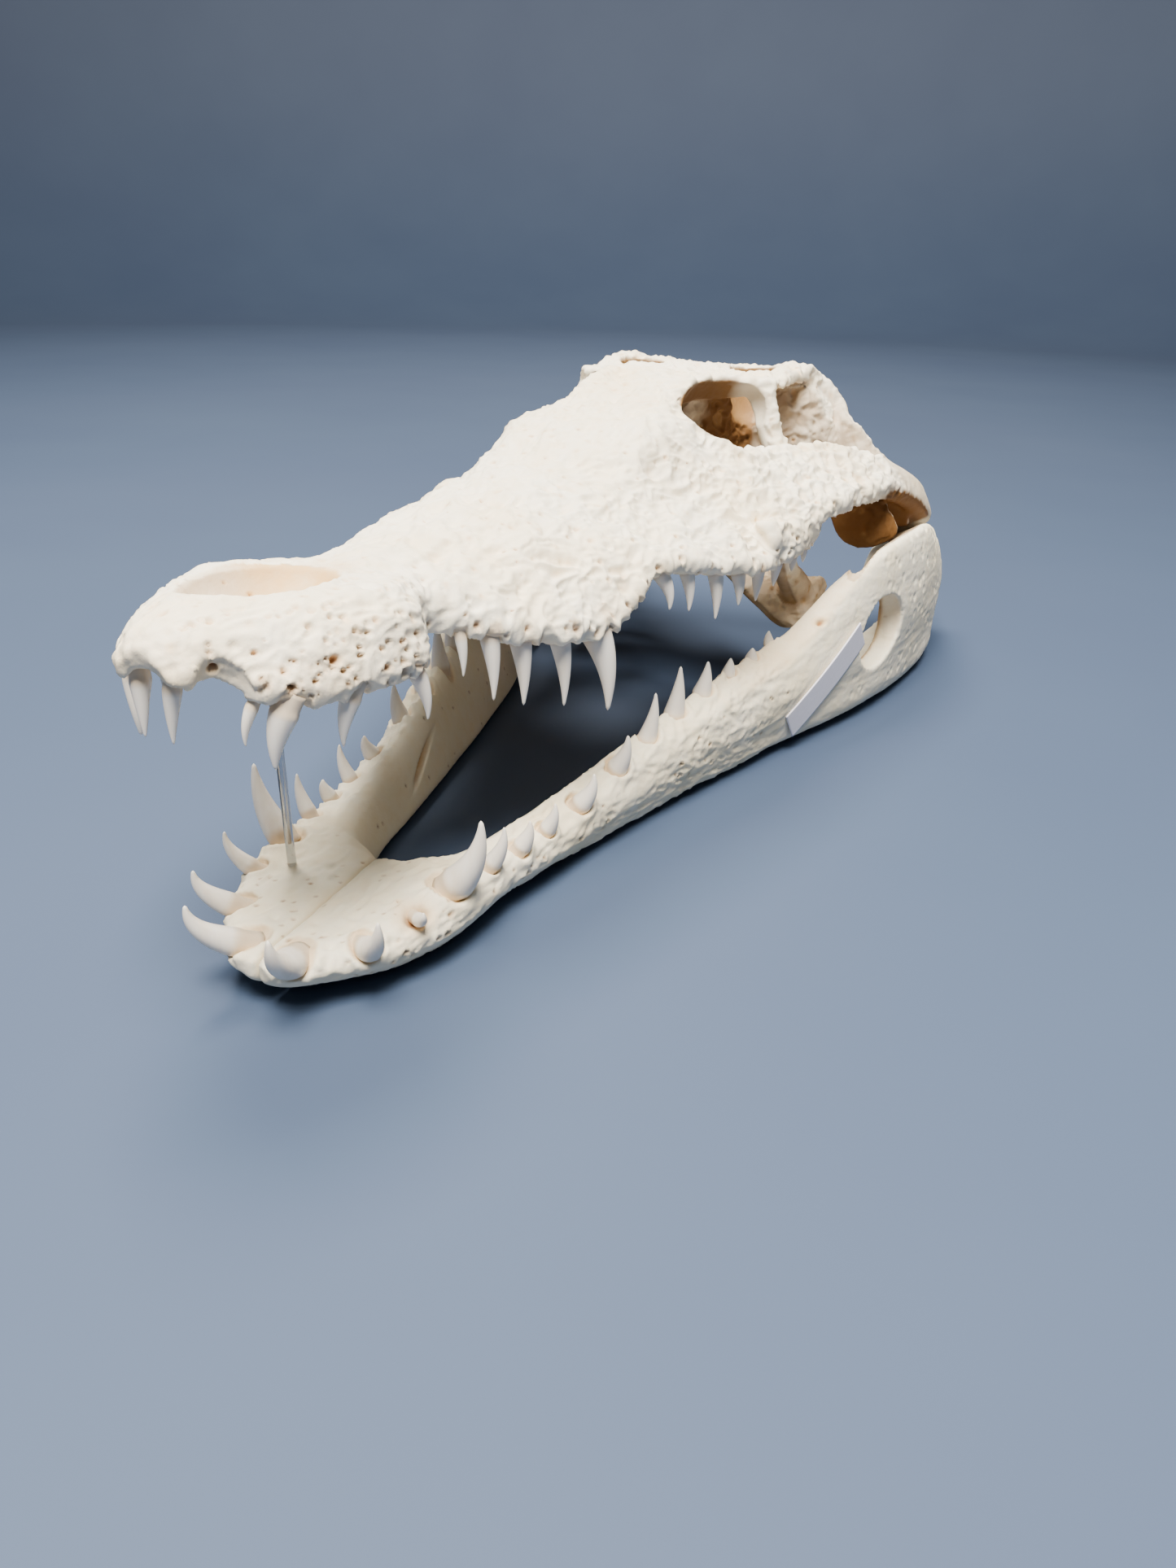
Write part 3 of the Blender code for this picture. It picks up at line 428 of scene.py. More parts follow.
def cells(points, seed):
    """Distances to the nearest two scattered points and a 0 to 1 tag of the nearest."""
    cell = np.floor(points)
    f = (points - cell).astype(np.float32)
    cell = cell.astype(np.int32)
    near = np.full(len(points), 9.0, np.float32)
    next_near = np.full(len(points), 9.0, np.float32)
    tag = np.zeros(len(points), np.float32)
    for dx in (-1, 0, 1):
        for dy in (-1, 0, 1):
            for dz in (-1, 0, 1):
                h = hash_bits(cell[:, 0] + dx, cell[:, 1] + dy, cell[:, 2] + dz, seed)
                ox = dx + (h & 1023).astype(np.float32) / 1023.0 - f[:, 0]
                oy = dy + ((h >> np.uint32(10)) & 1023).astype(np.float32) / 1023.0 - f[:, 1]
                oz = dz + ((h >> np.uint32(20)) & 1023).astype(np.float32) / 1023.0 - f[:, 2]
                d = np.sqrt(ox * ox + oy * oy + oz * oz)
                closer = d < near
                next_near = np.where(closer, near, np.minimum(next_near, d))
                mark = ((h * np.uint32(2654435761)) >> np.uint32(20)).astype(np.float32) / 4095.0
                tag = np.where(closer, mark, tag)
                near = np.where(closer, d, near)
    return near, next_near, tag


def curve_through(x, y, at):
    """Monotone cubic through table rows."""
    h = np.diff(x)
    d = np.diff(y, axis=0) / h[:, None]
    m = np.zeros_like(y)
    w1 = (2.0 * h[1:] + h[:-1])[:, None]
    w2 = (h[1:] + 2.0 * h[:-1])[:, None]
    same = d[1:] * d[:-1] > 0.0
    with np.errstate(divide="ignore", invalid="ignore"):
        mean = (w1 + w2) / (w1 / d[:-1] + w2 / d[1:])
    m[1:-1] = np.where(same, mean, 0.0)
    m[0] = d[0]
    m[-1] = d[-1]
    k = np.clip(np.searchsorted(x, at, side="right") - 1, 0, len(x) - 2)
    s = h[k][:, None]
    t = ((at - x[k]) / h[k])[:, None]
    t2 = t * t
    t3 = t2 * t
    return ((2 * t3 - 3 * t2 + 1) * y[k] + (t3 - 2 * t2 + t) * s * m[k]
            + (-2 * t3 + 3 * t2) * y[k + 1] + (t3 - t2) * s * m[k + 1])


def spread(rows, step=STEP):
    """Table rows resampled every step along their first column."""
    table = np.array(rows, float)
    count = max(3, int(round((table[-1, 0] - table[0, 0]) / step)) + 1)
    at = np.linspace(table[0, 0], table[-1, 0], count)
    return curve_through(table[:, 0], table, at)


def rounded(rings, steps=ROUNDING):
    """Closed rings of control points made smooth: (stations, points, 3)."""
    before = np.roll(rings, 1, axis=1)
    after = np.roll(rings, -1, axis=1)
    second = np.roll(rings, -2, axis=1)
    parts = []
    for i in range(steps):
        t = i / steps
        parts.append(0.5 * (2 * rings + (after - before) * t
                            + (2 * before - 5 * rings + 4 * after - second) * t * t
                            + (3 * rings - before - 3 * after + second) * t ** 3))
    return np.stack(parts, axis=2).reshape(rings.shape[0], -1, 3)


def circle(count):
    return np.linspace(0.0, 2.0 * math.pi, count, endpoint=False)


def unit_rows(v):
    return v / np.linalg.norm(v, axis=1, keepdims=True)


# ---- lofts --------------------------------------------------------------------------------------
def loft(rings):
    """Vertices and triangles of a closed solid through rings."""
    m, n = rings.shape[:2]
    verts = np.concatenate([rings.reshape(-1, 3), rings[0].mean(0)[None], rings[-1].mean(0)[None]])
    i, j = np.meshgrid(np.arange(m - 1), np.arange(n), indexing="ij")
    a = (i * n + j).ravel()
    b = (i * n + (j + 1) % n).ravel()
    c = b + n
    d = a + n
    k = np.arange(n)
    k2 = (k + 1) % n
    end = (m - 1) * n
    tris = np.concatenate([
        np.stack([a, b, c], 1), np.stack([a, c, d], 1),
        np.stack([k2, k, np.full(n, m * n)], 1),
        np.stack([end + k, end + k2, np.full(n, m * n + 1)], 1),
    ])
    return outward(verts, tris)


def outward(verts, tris):
    p = verts[tris]
    volume = np.einsum("ij,ij->i", p[:, 0], np.cross(p[:, 1], p[:, 2])).sum()
    return (verts, tris[:, ::-1]) if volume < 0.0 else (verts, tris)


def points(x, y, z):
    return np.stack(np.broadcast_arrays(x, y, z), axis=-1).astype(float)


def mirrored(y, half):
    """Rings at y out of one half's x and z, from the middle below to the middle above."""
    half = [points(x, y, z) for x, z in half]
    flipped = [p * np.array([-1.0, 1.0, 1.0]) for p in reversed(half[1:-1])]
    return np.stack(half + flipped, axis=1)


def snout_rings():
    y, w, margin, fx, fz, sx, sz, top, palate = spread(SNOUT).T
    lip = margin + 0.012
    return mirrored(y, [
        (0.0 * y, palate), (w * 0.45, palate), (w * 0.72, 0.4 * palate + 0.6 * margin),
        (w * 0.88, margin), (w - 0.003, margin + 0.002), (w, lip),
        (0.5 * (w + fx), 0.5 * (lip + fz) + 0.001), (fx, fz), (0.5 * (fx + sx), 0.5 * (fz + sz)),
        (sx, sz), (sx * 0.5, 0.35 * sz + 0.65 * top), (0.0 * y, top),
    ])


def roof_rings():
    y, w, under, edge, top = spread(ROOF).T
    return mirrored(y, [
        (0.0 * y, under), (w * 0.6, under), (w * 0.95, 0.5 * under + 0.5 * edge), (w, edge - 0.004),
        (w * 0.9, edge), (w * 0.5, 0.3 * edge + 0.7 * top), (0.0 * y, top),
    ])


def braincase_rings():
    y, w, under, join, top = spread(BRAINCASE).T
    return mirrored(y, [
        (0.0 * y, under), (w * 0.7, under + 0.006), (w, under + 0.3 * (top - under)),
        (0.5 * (w + join), under + 0.7 * (top - under)), (join, top), (0.0 * y, top),
    ])


def bar_rings(rows, side, step=STEP, sides=20):
    table = np.array(rows, float)
    run = np.concatenate([[0.0], np.cumsum(np.linalg.norm(np.diff(table[:, :3], axis=0), axis=1))])
    table = spread(np.column_stack([run, table]), step)[:, 1:]
    centre = table[:, :3] * np.array([side, 1.0, 1.0])
    along = unit_rows(np.gradient(centre, axis=0))
    across = np.cross(along, np.array([0.0, 0.0, 1.0]))
    steep = np.linalg.norm(across, axis=1) < 0.3
    across[steep] = np.array([1.0, 0.0, 0.0])
    across = unit_rows(across)
    rise = np.cross(across, along)
    turn = circle(sides)
    return (centre[:, None] + across[:, None] * (table[:, 3:4] * np.cos(turn))[..., None]
            + rise[:, None] * (table[:, 4:5] * np.sin(turn))[..., None])


def wing_rings(rows, side):
    x, front, rear, under, top = spread(rows).T
    mid = 0.5 * (under + top)
    bevel = 0.12 * (rear - front)
    ends = ((front, mid), (front + bevel, under), (rear - bevel, under),
            (rear, mid), (rear - bevel, top), (front + bevel, top))
    return np.stack([points(side * x, y, z) for y, z in ends], axis=1)


def plate_rings(rows, side):
    y, top_x, top_z, low_x, low_z, thick = spread(rows).T
    run = points(low_x - top_x, 0.0 * y, low_z - top_z)
    half = 0.5 * np.linalg.norm(run, axis=1)[:, None]
    run /= 2.0 * half
    out = points(-run[:, 2], 0.0 * y, run[:, 0]) * (0.5 * thick)[:, None]
    mid = points(0.5 * (top_x + low_x), y, 0.5 * (top_z + low_z))
    ends = ((-1.0, 0.0), (-0.86, 1.0), (0.0, 1.25), (0.86, 1.0),
            (1.0, 0.0), (0.86, -1.0), (-0.86, -1.0))
    rings = np.stack([mid + run * (half * a) + out * b for a, b in ends], axis=1)
    return rings * np.array([side, 1.0, 1.0])


def jaw_rings(side):
    y, inner_low, inner_high, outer_low, outer, under, top, inner_top = spread(JAW).T
    joined = inner_low <= HALF_GAP
    low = np.maximum(inner_low, HALF_GAP)
    high = np.maximum(inner_high, HALF_GAP)
    width = outer_low - low
    crest = outer - high
    height = top - under
    toe = np.where(joined, 0.0, 0.06)
    tuck = np.where(joined, 0.0, 0.34)
    fall = np.where(joined, 0.03, 0.14)
    ring = [
        (low + toe * width, under + 0.02 * height), (outer_low - 0.35 * width, under),
        (outer_low, under + 0.08 * height), (0.5 * (outer_low + outer), under + 0.28 * height),
        (outer, under + 0.60 * height), (outer - 0.10 * crest, top - 0.10 * height),
        (outer - 0.28 * crest, top), (high + 0.30 * crest, 0.5 * (top + inner_top)),
        (high + tuck * crest, inner_top), (high + 0.3 * tuck * crest, inner_top - fall * height),
        (0.7 * high + 0.3 * low, under + 0.62 * (inner_top - under)),
        (low, under + 0.12 * (inner_top - under)),
    ]
    return np.stack([points(x, y, z) for x, z in ring], axis=1) * np.array([side, 1.0, 1.0])


def hollow_rings(side):
    y, reach, middle, half = spread([(r[1], r[0], r[2], r[3]) for r in JAW_HOLLOW]).T
    mid = 0.5 * (reach + HOLLOW_INNER)
    wide = 0.5 * (reach - HOLLOW_INNER)
    corners = ((1.0, 0.6), (0.85, 1.0), (-0.85, 1.0), (-1.0, 0.6),
               (-1.0, -0.6), (-0.85, -1.0), (0.85, -1.0), (1.0, -0.6))
    rings = [points(side * (mid + wide * a), y, middle + half * b) for a, b in corners]
    return np.stack(rings, axis=1)


def ball(shape, side=1.0, grow=0.0, around=48):
    centre, radii, lean = shape
    lean = math.radians(lean) * side
    rows = np.linspace(-0.5 * math.pi, 0.5 * math.pi, around // 2 + 1)[1:-1]
    turn, rise = np.meshgrid(circle(around), rows, indexing="xy")
    a = (radii[0] + grow) * np.cos(rise) * np.cos(turn)
    b = (radii[1] + grow) * np.cos(rise) * np.sin(turn)
    d = (radii[2] + grow) * np.sin(rise)
    c, s = math.cos(lean), math.sin(lean)
    return np.stack([side * centre[0] + a * c - d * s, centre[1] + b,
                     centre[2] + a * s + d * c], axis=-1)


def level(shape, p, side=1.0):
    """1 on the ball's surface, less inside."""
    centre, radii, lean = shape
    lean = math.radians(lean) * side
    c, s = math.cos(lean), math.sin(lean)
    x = p[:, 0] - side * centre[0]
    z = p[:, 2] - centre[2]
    a = (x * c + z * s) / radii[0]
    d = (z * c - x * s) / radii[2]
    return np.sqrt(a * a + ((p[:, 1] - centre[1]) / radii[1]) ** 2 + d * d)


def to_floor(p):
    """Cranium frame to floor frame, both in skull units."""
    c, s = math.cos(GAPE), math.sin(GAPE)
    y = p[:, 1] - CONDYLE[0]
    z = p[:, 2] - CONDYLE[1]
    return np.stack([p[:, 0] + SHIFT, HINGE[0] + y * c + z * s, HINGE[1] - y * s + z * c], axis=1)


def to_metres(p):
    return (p - np.array([0.0, FLOOR_CENTRE_Y, 0.0])) * UNIT


def head_to_metres(p):
    return to_metres(to_floor(p))


# ---- Blender meshes -----------------------------------------------------------------------------
def new_object(name, verts, faces):
    mesh = bpy.data.meshes.new(name)
    faces = np.asarray(faces, np.int32)
    sides = faces.shape[1]
    mesh.vertices.add(len(verts))
    mesh.vertices.foreach_set("co", np.asarray(verts, np.float32).ravel())
    mesh.loops.add(faces.size)
    mesh.loops.foreach_set("vertex_index", faces.ravel())
    mesh.polygons.add(len(faces))
    mesh.polygons.foreach_set("loop_start", np.arange(0, faces.size, sides, dtype=np.int32))
    mesh.update(calc_edges=True)
    obj = bpy.data.objects.new(name, mesh)
    bpy.context.scene.collection.objects.link(obj)
    return obj


def gather(name, solids):
    """One object out of several overlapping solids, each a (verts, tris) pair."""
    verts = []
    tris = []
    base = 0
    for v, t in solids:
        verts.append(v)
        tris.append(t + base)
        base += len(v)
    return new_object(name, np.concatenate(verts), np.concatenate(tris))


def bake(obj):
    graph = bpy.context.evaluated_depsgraph_get()
    mesh = bpy.data.meshes.new_from_object(obj.evaluated_get(graph))
    obj.modifiers.clear()
    old = obj.data
    obj.data = mesh
    bpy.data.meshes.remove(old)


def remesh(obj, cell, rounds):
    mod = obj.modifiers.new("cells", "REMESH")
    mod.mode = "VOXEL"
    mod.voxel_size = cell
    smooth = obj.modifiers.new("ease", "SMOOTH")
    smooth.factor = 0.5
    smooth.iterations = rounds
    bake(obj)


def cut(obj, tool):
    mod = obj.modifiers.new("cut", "BOOLEAN")
    mod.operation = "DIFFERENCE"
    mod.solver = "EXACT"
    mod.object = tool
    bake(obj)
    bpy.data.objects.remove(tool, do_unlink=True)


def coordinates(obj):
    co = np.empty(len(obj.data.vertices) * 3, np.float32)
    obj.data.vertices.foreach_get("co", co)
    return co.reshape(-1, 3).astype(float)


def normals(obj):
    no = np.empty(len(obj.data.vertices) * 3, np.float32)
    obj.data.vertex_normals.foreach_get("vector", no)
    return no.reshape(-1, 3).astype(float)


def place(obj, verts):
    obj.data.vertices.foreach_set("co", np.asarray(verts, np.float32).ravel())
    obj.data.update()


def keep_attribute(obj, name, values):
    layer = obj.data.attributes.new(name, "FLOAT", "POINT")
    layer.data.foreach_set("value", np.asarray(values, np.float32))


def shade_smooth(obj):
    obj.data.polygons.foreach_set("use_smooth", np.ones(len(obj.data.polygons), bool))
    obj.data.update()


# ---- bone surface -------------------------------------------------------------------------------
class Skin:
    """A bone's vertices while its surface detail is worked out."""

    def __init__(self, obj):
        self.obj = obj
        self.p = coordinates(obj)
        self.n = normals(obj)
        self.lift = np.zeros(len(self.p))
        self.push = np.zeros_like(self.p)
        # Dark: painted shade inside pits, holes and moats, partly stain
        self.pit = np.zeros(len(self.p))
        # Tan: real stains, and painted shade in hollows, grooves and recesses
        self.stain_and_shade = np.zeros(len(self.p))
        # Deep colour: painted shade inside openings and recesses and under the roof
        self.inner = np.zeros(len(self.p))
        self.order = np.argsort(self.p[:, 1])
        self.sorted_y = self.p[self.order, 1]

    def near_y(self, low, high):
        a, b = np.searchsorted(self.sorted_y, (low, high))
        return self.order[a:b]

    def hole(self, centre, radius, depth, stain_and_shade=1.0, squeeze=(1.0, 1.0, 1.0)):
        """Small pit whose floor is darkened, partly painted shade and partly stain, with tan round
        it.
        """
        reach = radius * 2.2 * max(squeeze)
        k = self.near_y(centre[1] - reach, centre[1] + reach)
        if not len(k):
            return
        d = np.linalg.norm((self.p[k] - centre) / np.array(squeeze), axis=1) / radius
        self.lift[k] -= depth * fade(0.35, 1.05, d) - 0.10 * depth * bump(d, 1.35, 0.30)
        self.pit[k] = np.maximum(self.pit[k], stain_and_shade * fade(0.30, 0.95, d))
        self.stain_and_shade[k] = np.maximum(self.stain_and_shade[k], 0.5 * stain_and_shade * fade(0.6, 2.0, d))

    def groove(self, line, width, depth):
        """Long furrow along a line of points."""
        line = np.array(line)
        k = self.near_y(line[0, 1] - width, line[-1, 1] + width)
        near = distance_to(line, self.p[k])
        self.lift[k] -= depth * fade(0.1, 1.0, near / width)
        self.stain_and_shade[k] = np.maximum(self.stain_and_shade[k], 0.9 * fade(0.2, 0.9, near / width))

    def outer_point(self, side, y, z):
        """Outermost vertex of one side near a height."""
        k = self.near_y(y - 0.003, y + 0.003)
        q = self.p[k]
        score = np.abs(q[:, 2] - z) * 3.0 + np.abs(q[:, 1] - y) - side * q[:, 0]
        return q[np.argmin(score)]

    def top_point(self, x, y):
        k = self.near_y(y - 0.003, y + 0.003)
        q = self.p[k]
        score = np.abs(q[:, 0] - x) * 4.0 - q[:, 2]
        return q[np.argmin(score)]

    def socket(self, row, side, deep, rim, tint):
        """Narrow moat round a tooth's neck inside a low collar of bone; painted shade darkens the
        moat and tints it tan.
        """
        base = np.array([side * row[0], row[1], row[2]])
        axis = first_way(row, side)
        radius = 0.5 * row[6]
        k = self.near_y(base[1] - 3.0 * radius, base[1] + 3.0 * radius)
        rel = self.p[k] - base
        t = rel @ axis
        r = np.linalg.norm(rel - t[:, None] * axis, axis=1) / radius
        close = fade(0.9, 2.0, np.abs(t) / radius)
        well = fade(1.02, 1.26, r) * close
        self.push[k] -= axis * (deep * well)[:, None]
        self.push[k] += axis * (rim * bump(r, 1.50, 0.30) * close)[:, None]
        self.pit[k] = np.maximum(self.pit[k], 0.40 * tint * fade(0.98, 1.14, r) * close)
        self.stain_and_shade[k] = np.maximum(self.stain_and_shade[k], tint * fade(1.0, 1.38, r) * close)

    def finish(self, frame_of):
        place(self.obj, frame_of(self.p + self.n * self.lift[:, None] + self.push))
        keep_attribute(self.obj, "pit", np.clip(self.pit, 0.0, 1.0))
        keep_attribute(self.obj, "stain_and_shade", np.clip(self.stain_and_shade, 0.0, 1.0))
        keep_attribute(self.obj, "inner", np.clip(self.inner, 0.0, 1.8))
        shade_smooth(self.obj)


def distance_to(line, p):
    """Distance from each point to a line through a list of points."""
    near = np.full(len(p), 9.0)
    for a, b in zip(line, line[1:]):
        t = np.clip((p - a) @ (b - a) / np.dot(b - a, b - a), 0.0, 1.0)
        near = np.minimum(near, np.linalg.norm(p - a - t[:, None] * (b - a), axis=1))
    return near


def wrinkles(p, stretch, seed):
    """Winding low ridges, 0 to 1."""
    q = p * np.array(stretch)
    bend = np.stack([noise(q * 0.45 + 11.0, seed + 1), noise(q * 0.45 + 47.0, seed + 2),
                     noise(q * 0.45 + 83.0, seed + 3)], axis=1)
    q = q + bend * 0.75
    ridge = 1.0 - np.abs(noise(q, seed)) * 1.9
    return np.clip(ridge, -0.6, 1.0)


def column_at(rows, column, y):
    """A table's column at y, for tables that start with y."""
    return np.interp(y, [row[0] for row in rows], [row[column] for row in rows])


def margin_at(y):
    return column_at(SNOUT, 2, y)


def detail_cranium(skin):
    p, n = skin.p, skin.n
    x, y, z = p.T
    side = np.sign(x)
    ax = np.abs(x)
    # How far a vertex is on the outside, on the snout, on the brow, and so on: 0 to 1
    outer = ease(-0.15, 0.30, 0.75 * n[:, 2] + 0.95 * n[:, 0] * side)
    inside = np.minimum.reduce([level(NARIS, p), level(ORBIT, p, 1.0), level(ORBIT, p, -1.0),
                                level(SOCKET_FLOOR, p, 1.0), level(SOCKET_FLOOR, p, -1.0),
                                level(TEMPLE, p, 1.0), level(TEMPLE, p, -1.0)])
    outer = outer * ease(1.0, 1.10, inside)
    behind = ease(0.93, 1.0, y + 0.25 * (0.13 - z))
    outer = outer * (1.0 - 0.85 * behind)
    snout = fade(0.58, 0.68, y)
    side_face = ease(0.15, 0.7, np.abs(n[:, 0]))
    brow = ease(0.50, 0.60, y) * fade(0.95, 0.99, y)
    bulge = bump(y, 0.33, 0.10) + bump(y, 0.10, 0.08)
    smooth_tip = 1.0 - 0.65 * fade(0.15, 0.23, y)

    # Wrinkles and swellings, finest first
    fine = wrinkles(p, (120.0, 66.0, 120.0), seed=21)
    coarse = wrinkles(p, (58.0, 40.0, 58.0), seed=55)
    broad = noise(p * np.array([26.0, 17.0, 26.0]), seed=90)
    folds = wrinkles(p, (32.0, 15.0, 32.0), seed=77)
    skin.lift += outer * ((FINE_RELIEF + 0.00025 * brow + 0.00045 * bulge) * fine
                          + ((COARSE_RELIEF + 0.0010 * brow + 0.0012 * bulge) * coarse
                             + BROAD_RELIEF * broad) * smooth_tip
                          + FOLD_RELIEF * folds * (snout + 0.6 * brow) * smooth_tip)

    # Shallow dimples all over; a few of them are stained
    near, _, tag = cells(p * 92.0, seed=5)
    dimple = fade(0.10, 0.20 + 0.55 * tag, near) * (tag < 0.46)
    skin.lift -= outer * dimple * (DIMPLE_DEPTH + 0.0009 * brow + 0.0009 * side_face * snout)
    skin.pit += 0.45 * outer * fade(0.04, 0.24, near) * (tag < 0.09)
    skin.stain_and_shade += 0.50 * outer * fade(0.08, 0.50, near) * (tag < 0.16)

    # Close pits with walls between them on the roof and the cheeks
    near, next_near, _ = cells(p * np.array([44.0, 38.0, 44.0]), seed=9)
    mesh_pits = ease(0.08, 0.42, next_near - near)
    rugged = outer * ease(0.60, 0.70, y) * fade(0.93, 0.98, y)
    rugged = rugged * np.where(ax > 0.1, ease(0.03, 0.06, z), 1.0)
    skin.lift -= rugged * mesh_pits * MESH_DEPTH
    # Painted shade: tan in the floors of these pits
    skin.stain_and_shade += 0.30 * rugged * ease(0.30, 0.60, next_near - near)
    skin.lift += (1.0 - outer) * 0.0006 * noise(p * 40.0, seed=31)
    # Painted shade: tan in the hollows between the coarse wrinkles, more on the brow
    skin.stain_and_shade += 0.42 * outer * ease(0.05, 0.70, -coarse) * (0.55 + 0.45 * brow)

    cranium_holes(skin, outer)
    cranium_shade(skin, outer, inside, behind, broad)


def cranium_holes(skin, outer):
    """Sockets, roots and holes. The order of the random draws decides where they are."""
    x, y, z = skin.p.T
    rng = np.random.default_rng(7)
    for s in (1.0, -1.0):
        for row in upper_teeth(s):
            skin.socket(row, s, deep=0.0030, rim=0.0020, tint=0.35)
            root = bump(y, row[1], 0.55 * row[6] + 0.003)
            root = root * bump(z, margin_at(row[1]) + 0.012, 0.014)
            skin.lift += outer * (x * s > 0.0) * root * 0.0018
        for spot, height, r in PREMAXILLA_HOLES:
            at = skin.outer_point(s, spot + rng.uniform(-0.004, 0.004), height)
            skin.hole(at, r * rng.uniform(0.6, 0.95), 1.5 * r, rng.uniform(0.6, 1.0),
                      (1.0, rng.uniform(0.9, 1.7), rng.uniform(0.7, 1.1)))
        for _ in range(SNOUT_PITS):
            spot = rng.uniform(0.015, 0.19)
            at = skin.outer_point(s, spot, margin_at(spot) + rng.uniform(0.004, 0.060))
            r = rng.uniform(0.0011, 0.0024)
            skin.hole(at, r, 1.4 * r, rng.uniform(0.15, 0.6), (1.0, rng.uniform(0.9, 1.5), 1.0))
        for offset, gap, size, jitter in HOLE_ROWS:
            spot = 0.045 + 0.2 * gap
            while spot < 0.66:
                if not 0.185 < spot < 0.215:
                    height = margin_at(spot) + offset + rng.uniform(-jitter, jitter)
                    r = size * rng.uniform(0.40, 1.25)
                    skin.hole(skin.outer_point(s, spot, height), r, r * 1.5, rng.uniform(0.35, 1.0),
                              (1.0, rng.uniform(0.9, 1.9), rng.uniform(0.7, 1.1)))
                spot += gap * rng.uniform(0.45, 1.75)
        for _ in range(ROOF_PITS):
            spot = rng.uniform(0.03, 0.62)
            across = rng.uniform(0.010, 0.9) * column_at(SNOUT, 3, spot)
            r = rng.uniform(0.0010, 0.0022)
            skin.hole(skin.top_point(s * across, spot), r, r * 1.2, rng.uniform(0.35, 0.95))


def cranium_shade(skin, outer, inside, behind, broad):
    """Painted shade on the insides of the openings and recesses, and tan marks beside them, some of
    them painted shade.
    """
    p, n = skin.p, skin.n
    x, y, z = p.T
    ax = np.abs(x)
    naris = level(NARIS, p)
    # Tan on the lower front of the snout, darker towards the bottom
    skin.stain_and_shade += 0.30 * fade(0.10, 0.20, y) * fade(0.012, 0.045, z) * (0.6 + 0.4 * broad)
    # Painted shade: deep colour inside the openings, on inward faces from y 0.60 back and on the
    # naris floor
    cavity = fade(1.02, 1.12, inside) * fade(0.2, 0.7, n[:, 2])
    skin.inner = 0.55 * cavity
    skin.inner += 0.8 * ease(0.0, 0.5, 0.8 - outer) * ease(0.60, 0.70, y) * (1.0 - 0.5 * behind)
    skin.inner = np.maximum(skin.inner, 0.55 * (naris < 1.06) * (z < 0.046))
    # Painted shade under the roof: on the braincase and in the recess behind the postorbital bar,
    # with the bar itself left pale
    folded = np.stack([ax, y, z], axis=1)
    bar = fade(0.018, 0.042, distance_to(np.array(POSTORBITAL)[:, :3], folded))
    roofed = ease(0.03, 0.07, z) * fade(0.155, 0.168, z)
    braincase = fade(0.060, 0.085, ax) * ease(0.76, 0.82, y) * fade(0.92, 0.95, y) * roofed
    recess = ease(0.06, 0.09, ax) * fade(0.19, 0.23, ax) * ease(0.80, 0.86, y)
    recess = recess * fade(0.95, 0.99, y) * roofed * ease(0.1, 0.5, -n[:, 1])
    skin.inner = np.maximum(skin.inner, 1.5 * braincase) * (1.0 - bar)
    skin.inner = np.maximum(skin.inner, 0.70 * recess * (1.0 - bar))
    # Painted shade on the quadrate flange's faces turned forwards or down
    flange = ease(0.88, 0.92, y) * fade(1.04, 1.08, y) * ease(0.13, 0.16, ax)
    hidden = np.maximum(ease(0.0, 0.4, -n[:, 1]), ease(0.0, 0.4, -n[:, 2]))
    flange = flange * hidden * fade(0.070, 0.095, z)
    skin.inner = np.maximum(skin.inner, 1.8 * flange)
    # Tan low down away from the middle round y 0.85, on the middle just behind the naris, and
    # inside the naris, more towards its rear
    skin.stain_and_shade += 0.70 * ease(0.06, 0.09, ax) * fade(-0.02, 0.01, z) * bump(y, 0.850, 0.07)
    skin.stain_and_shade += 0.55 * bump(y, 0.172, 0.022) * bump(x, -0.002, 0.020) * ease(0.02, 0.03, z)
    skin.stain_and_shade += (naris < 1.05) * (0.25 + 0.75 * ease(0.110, 0.160, y))
    # Painted shade: tan on inward faces of the recess round y 0.845
    skin.stain_and_shade += 0.5 * bump(y, 0.845, 0.05) * (1.0 - outer) * (z > 0.05)


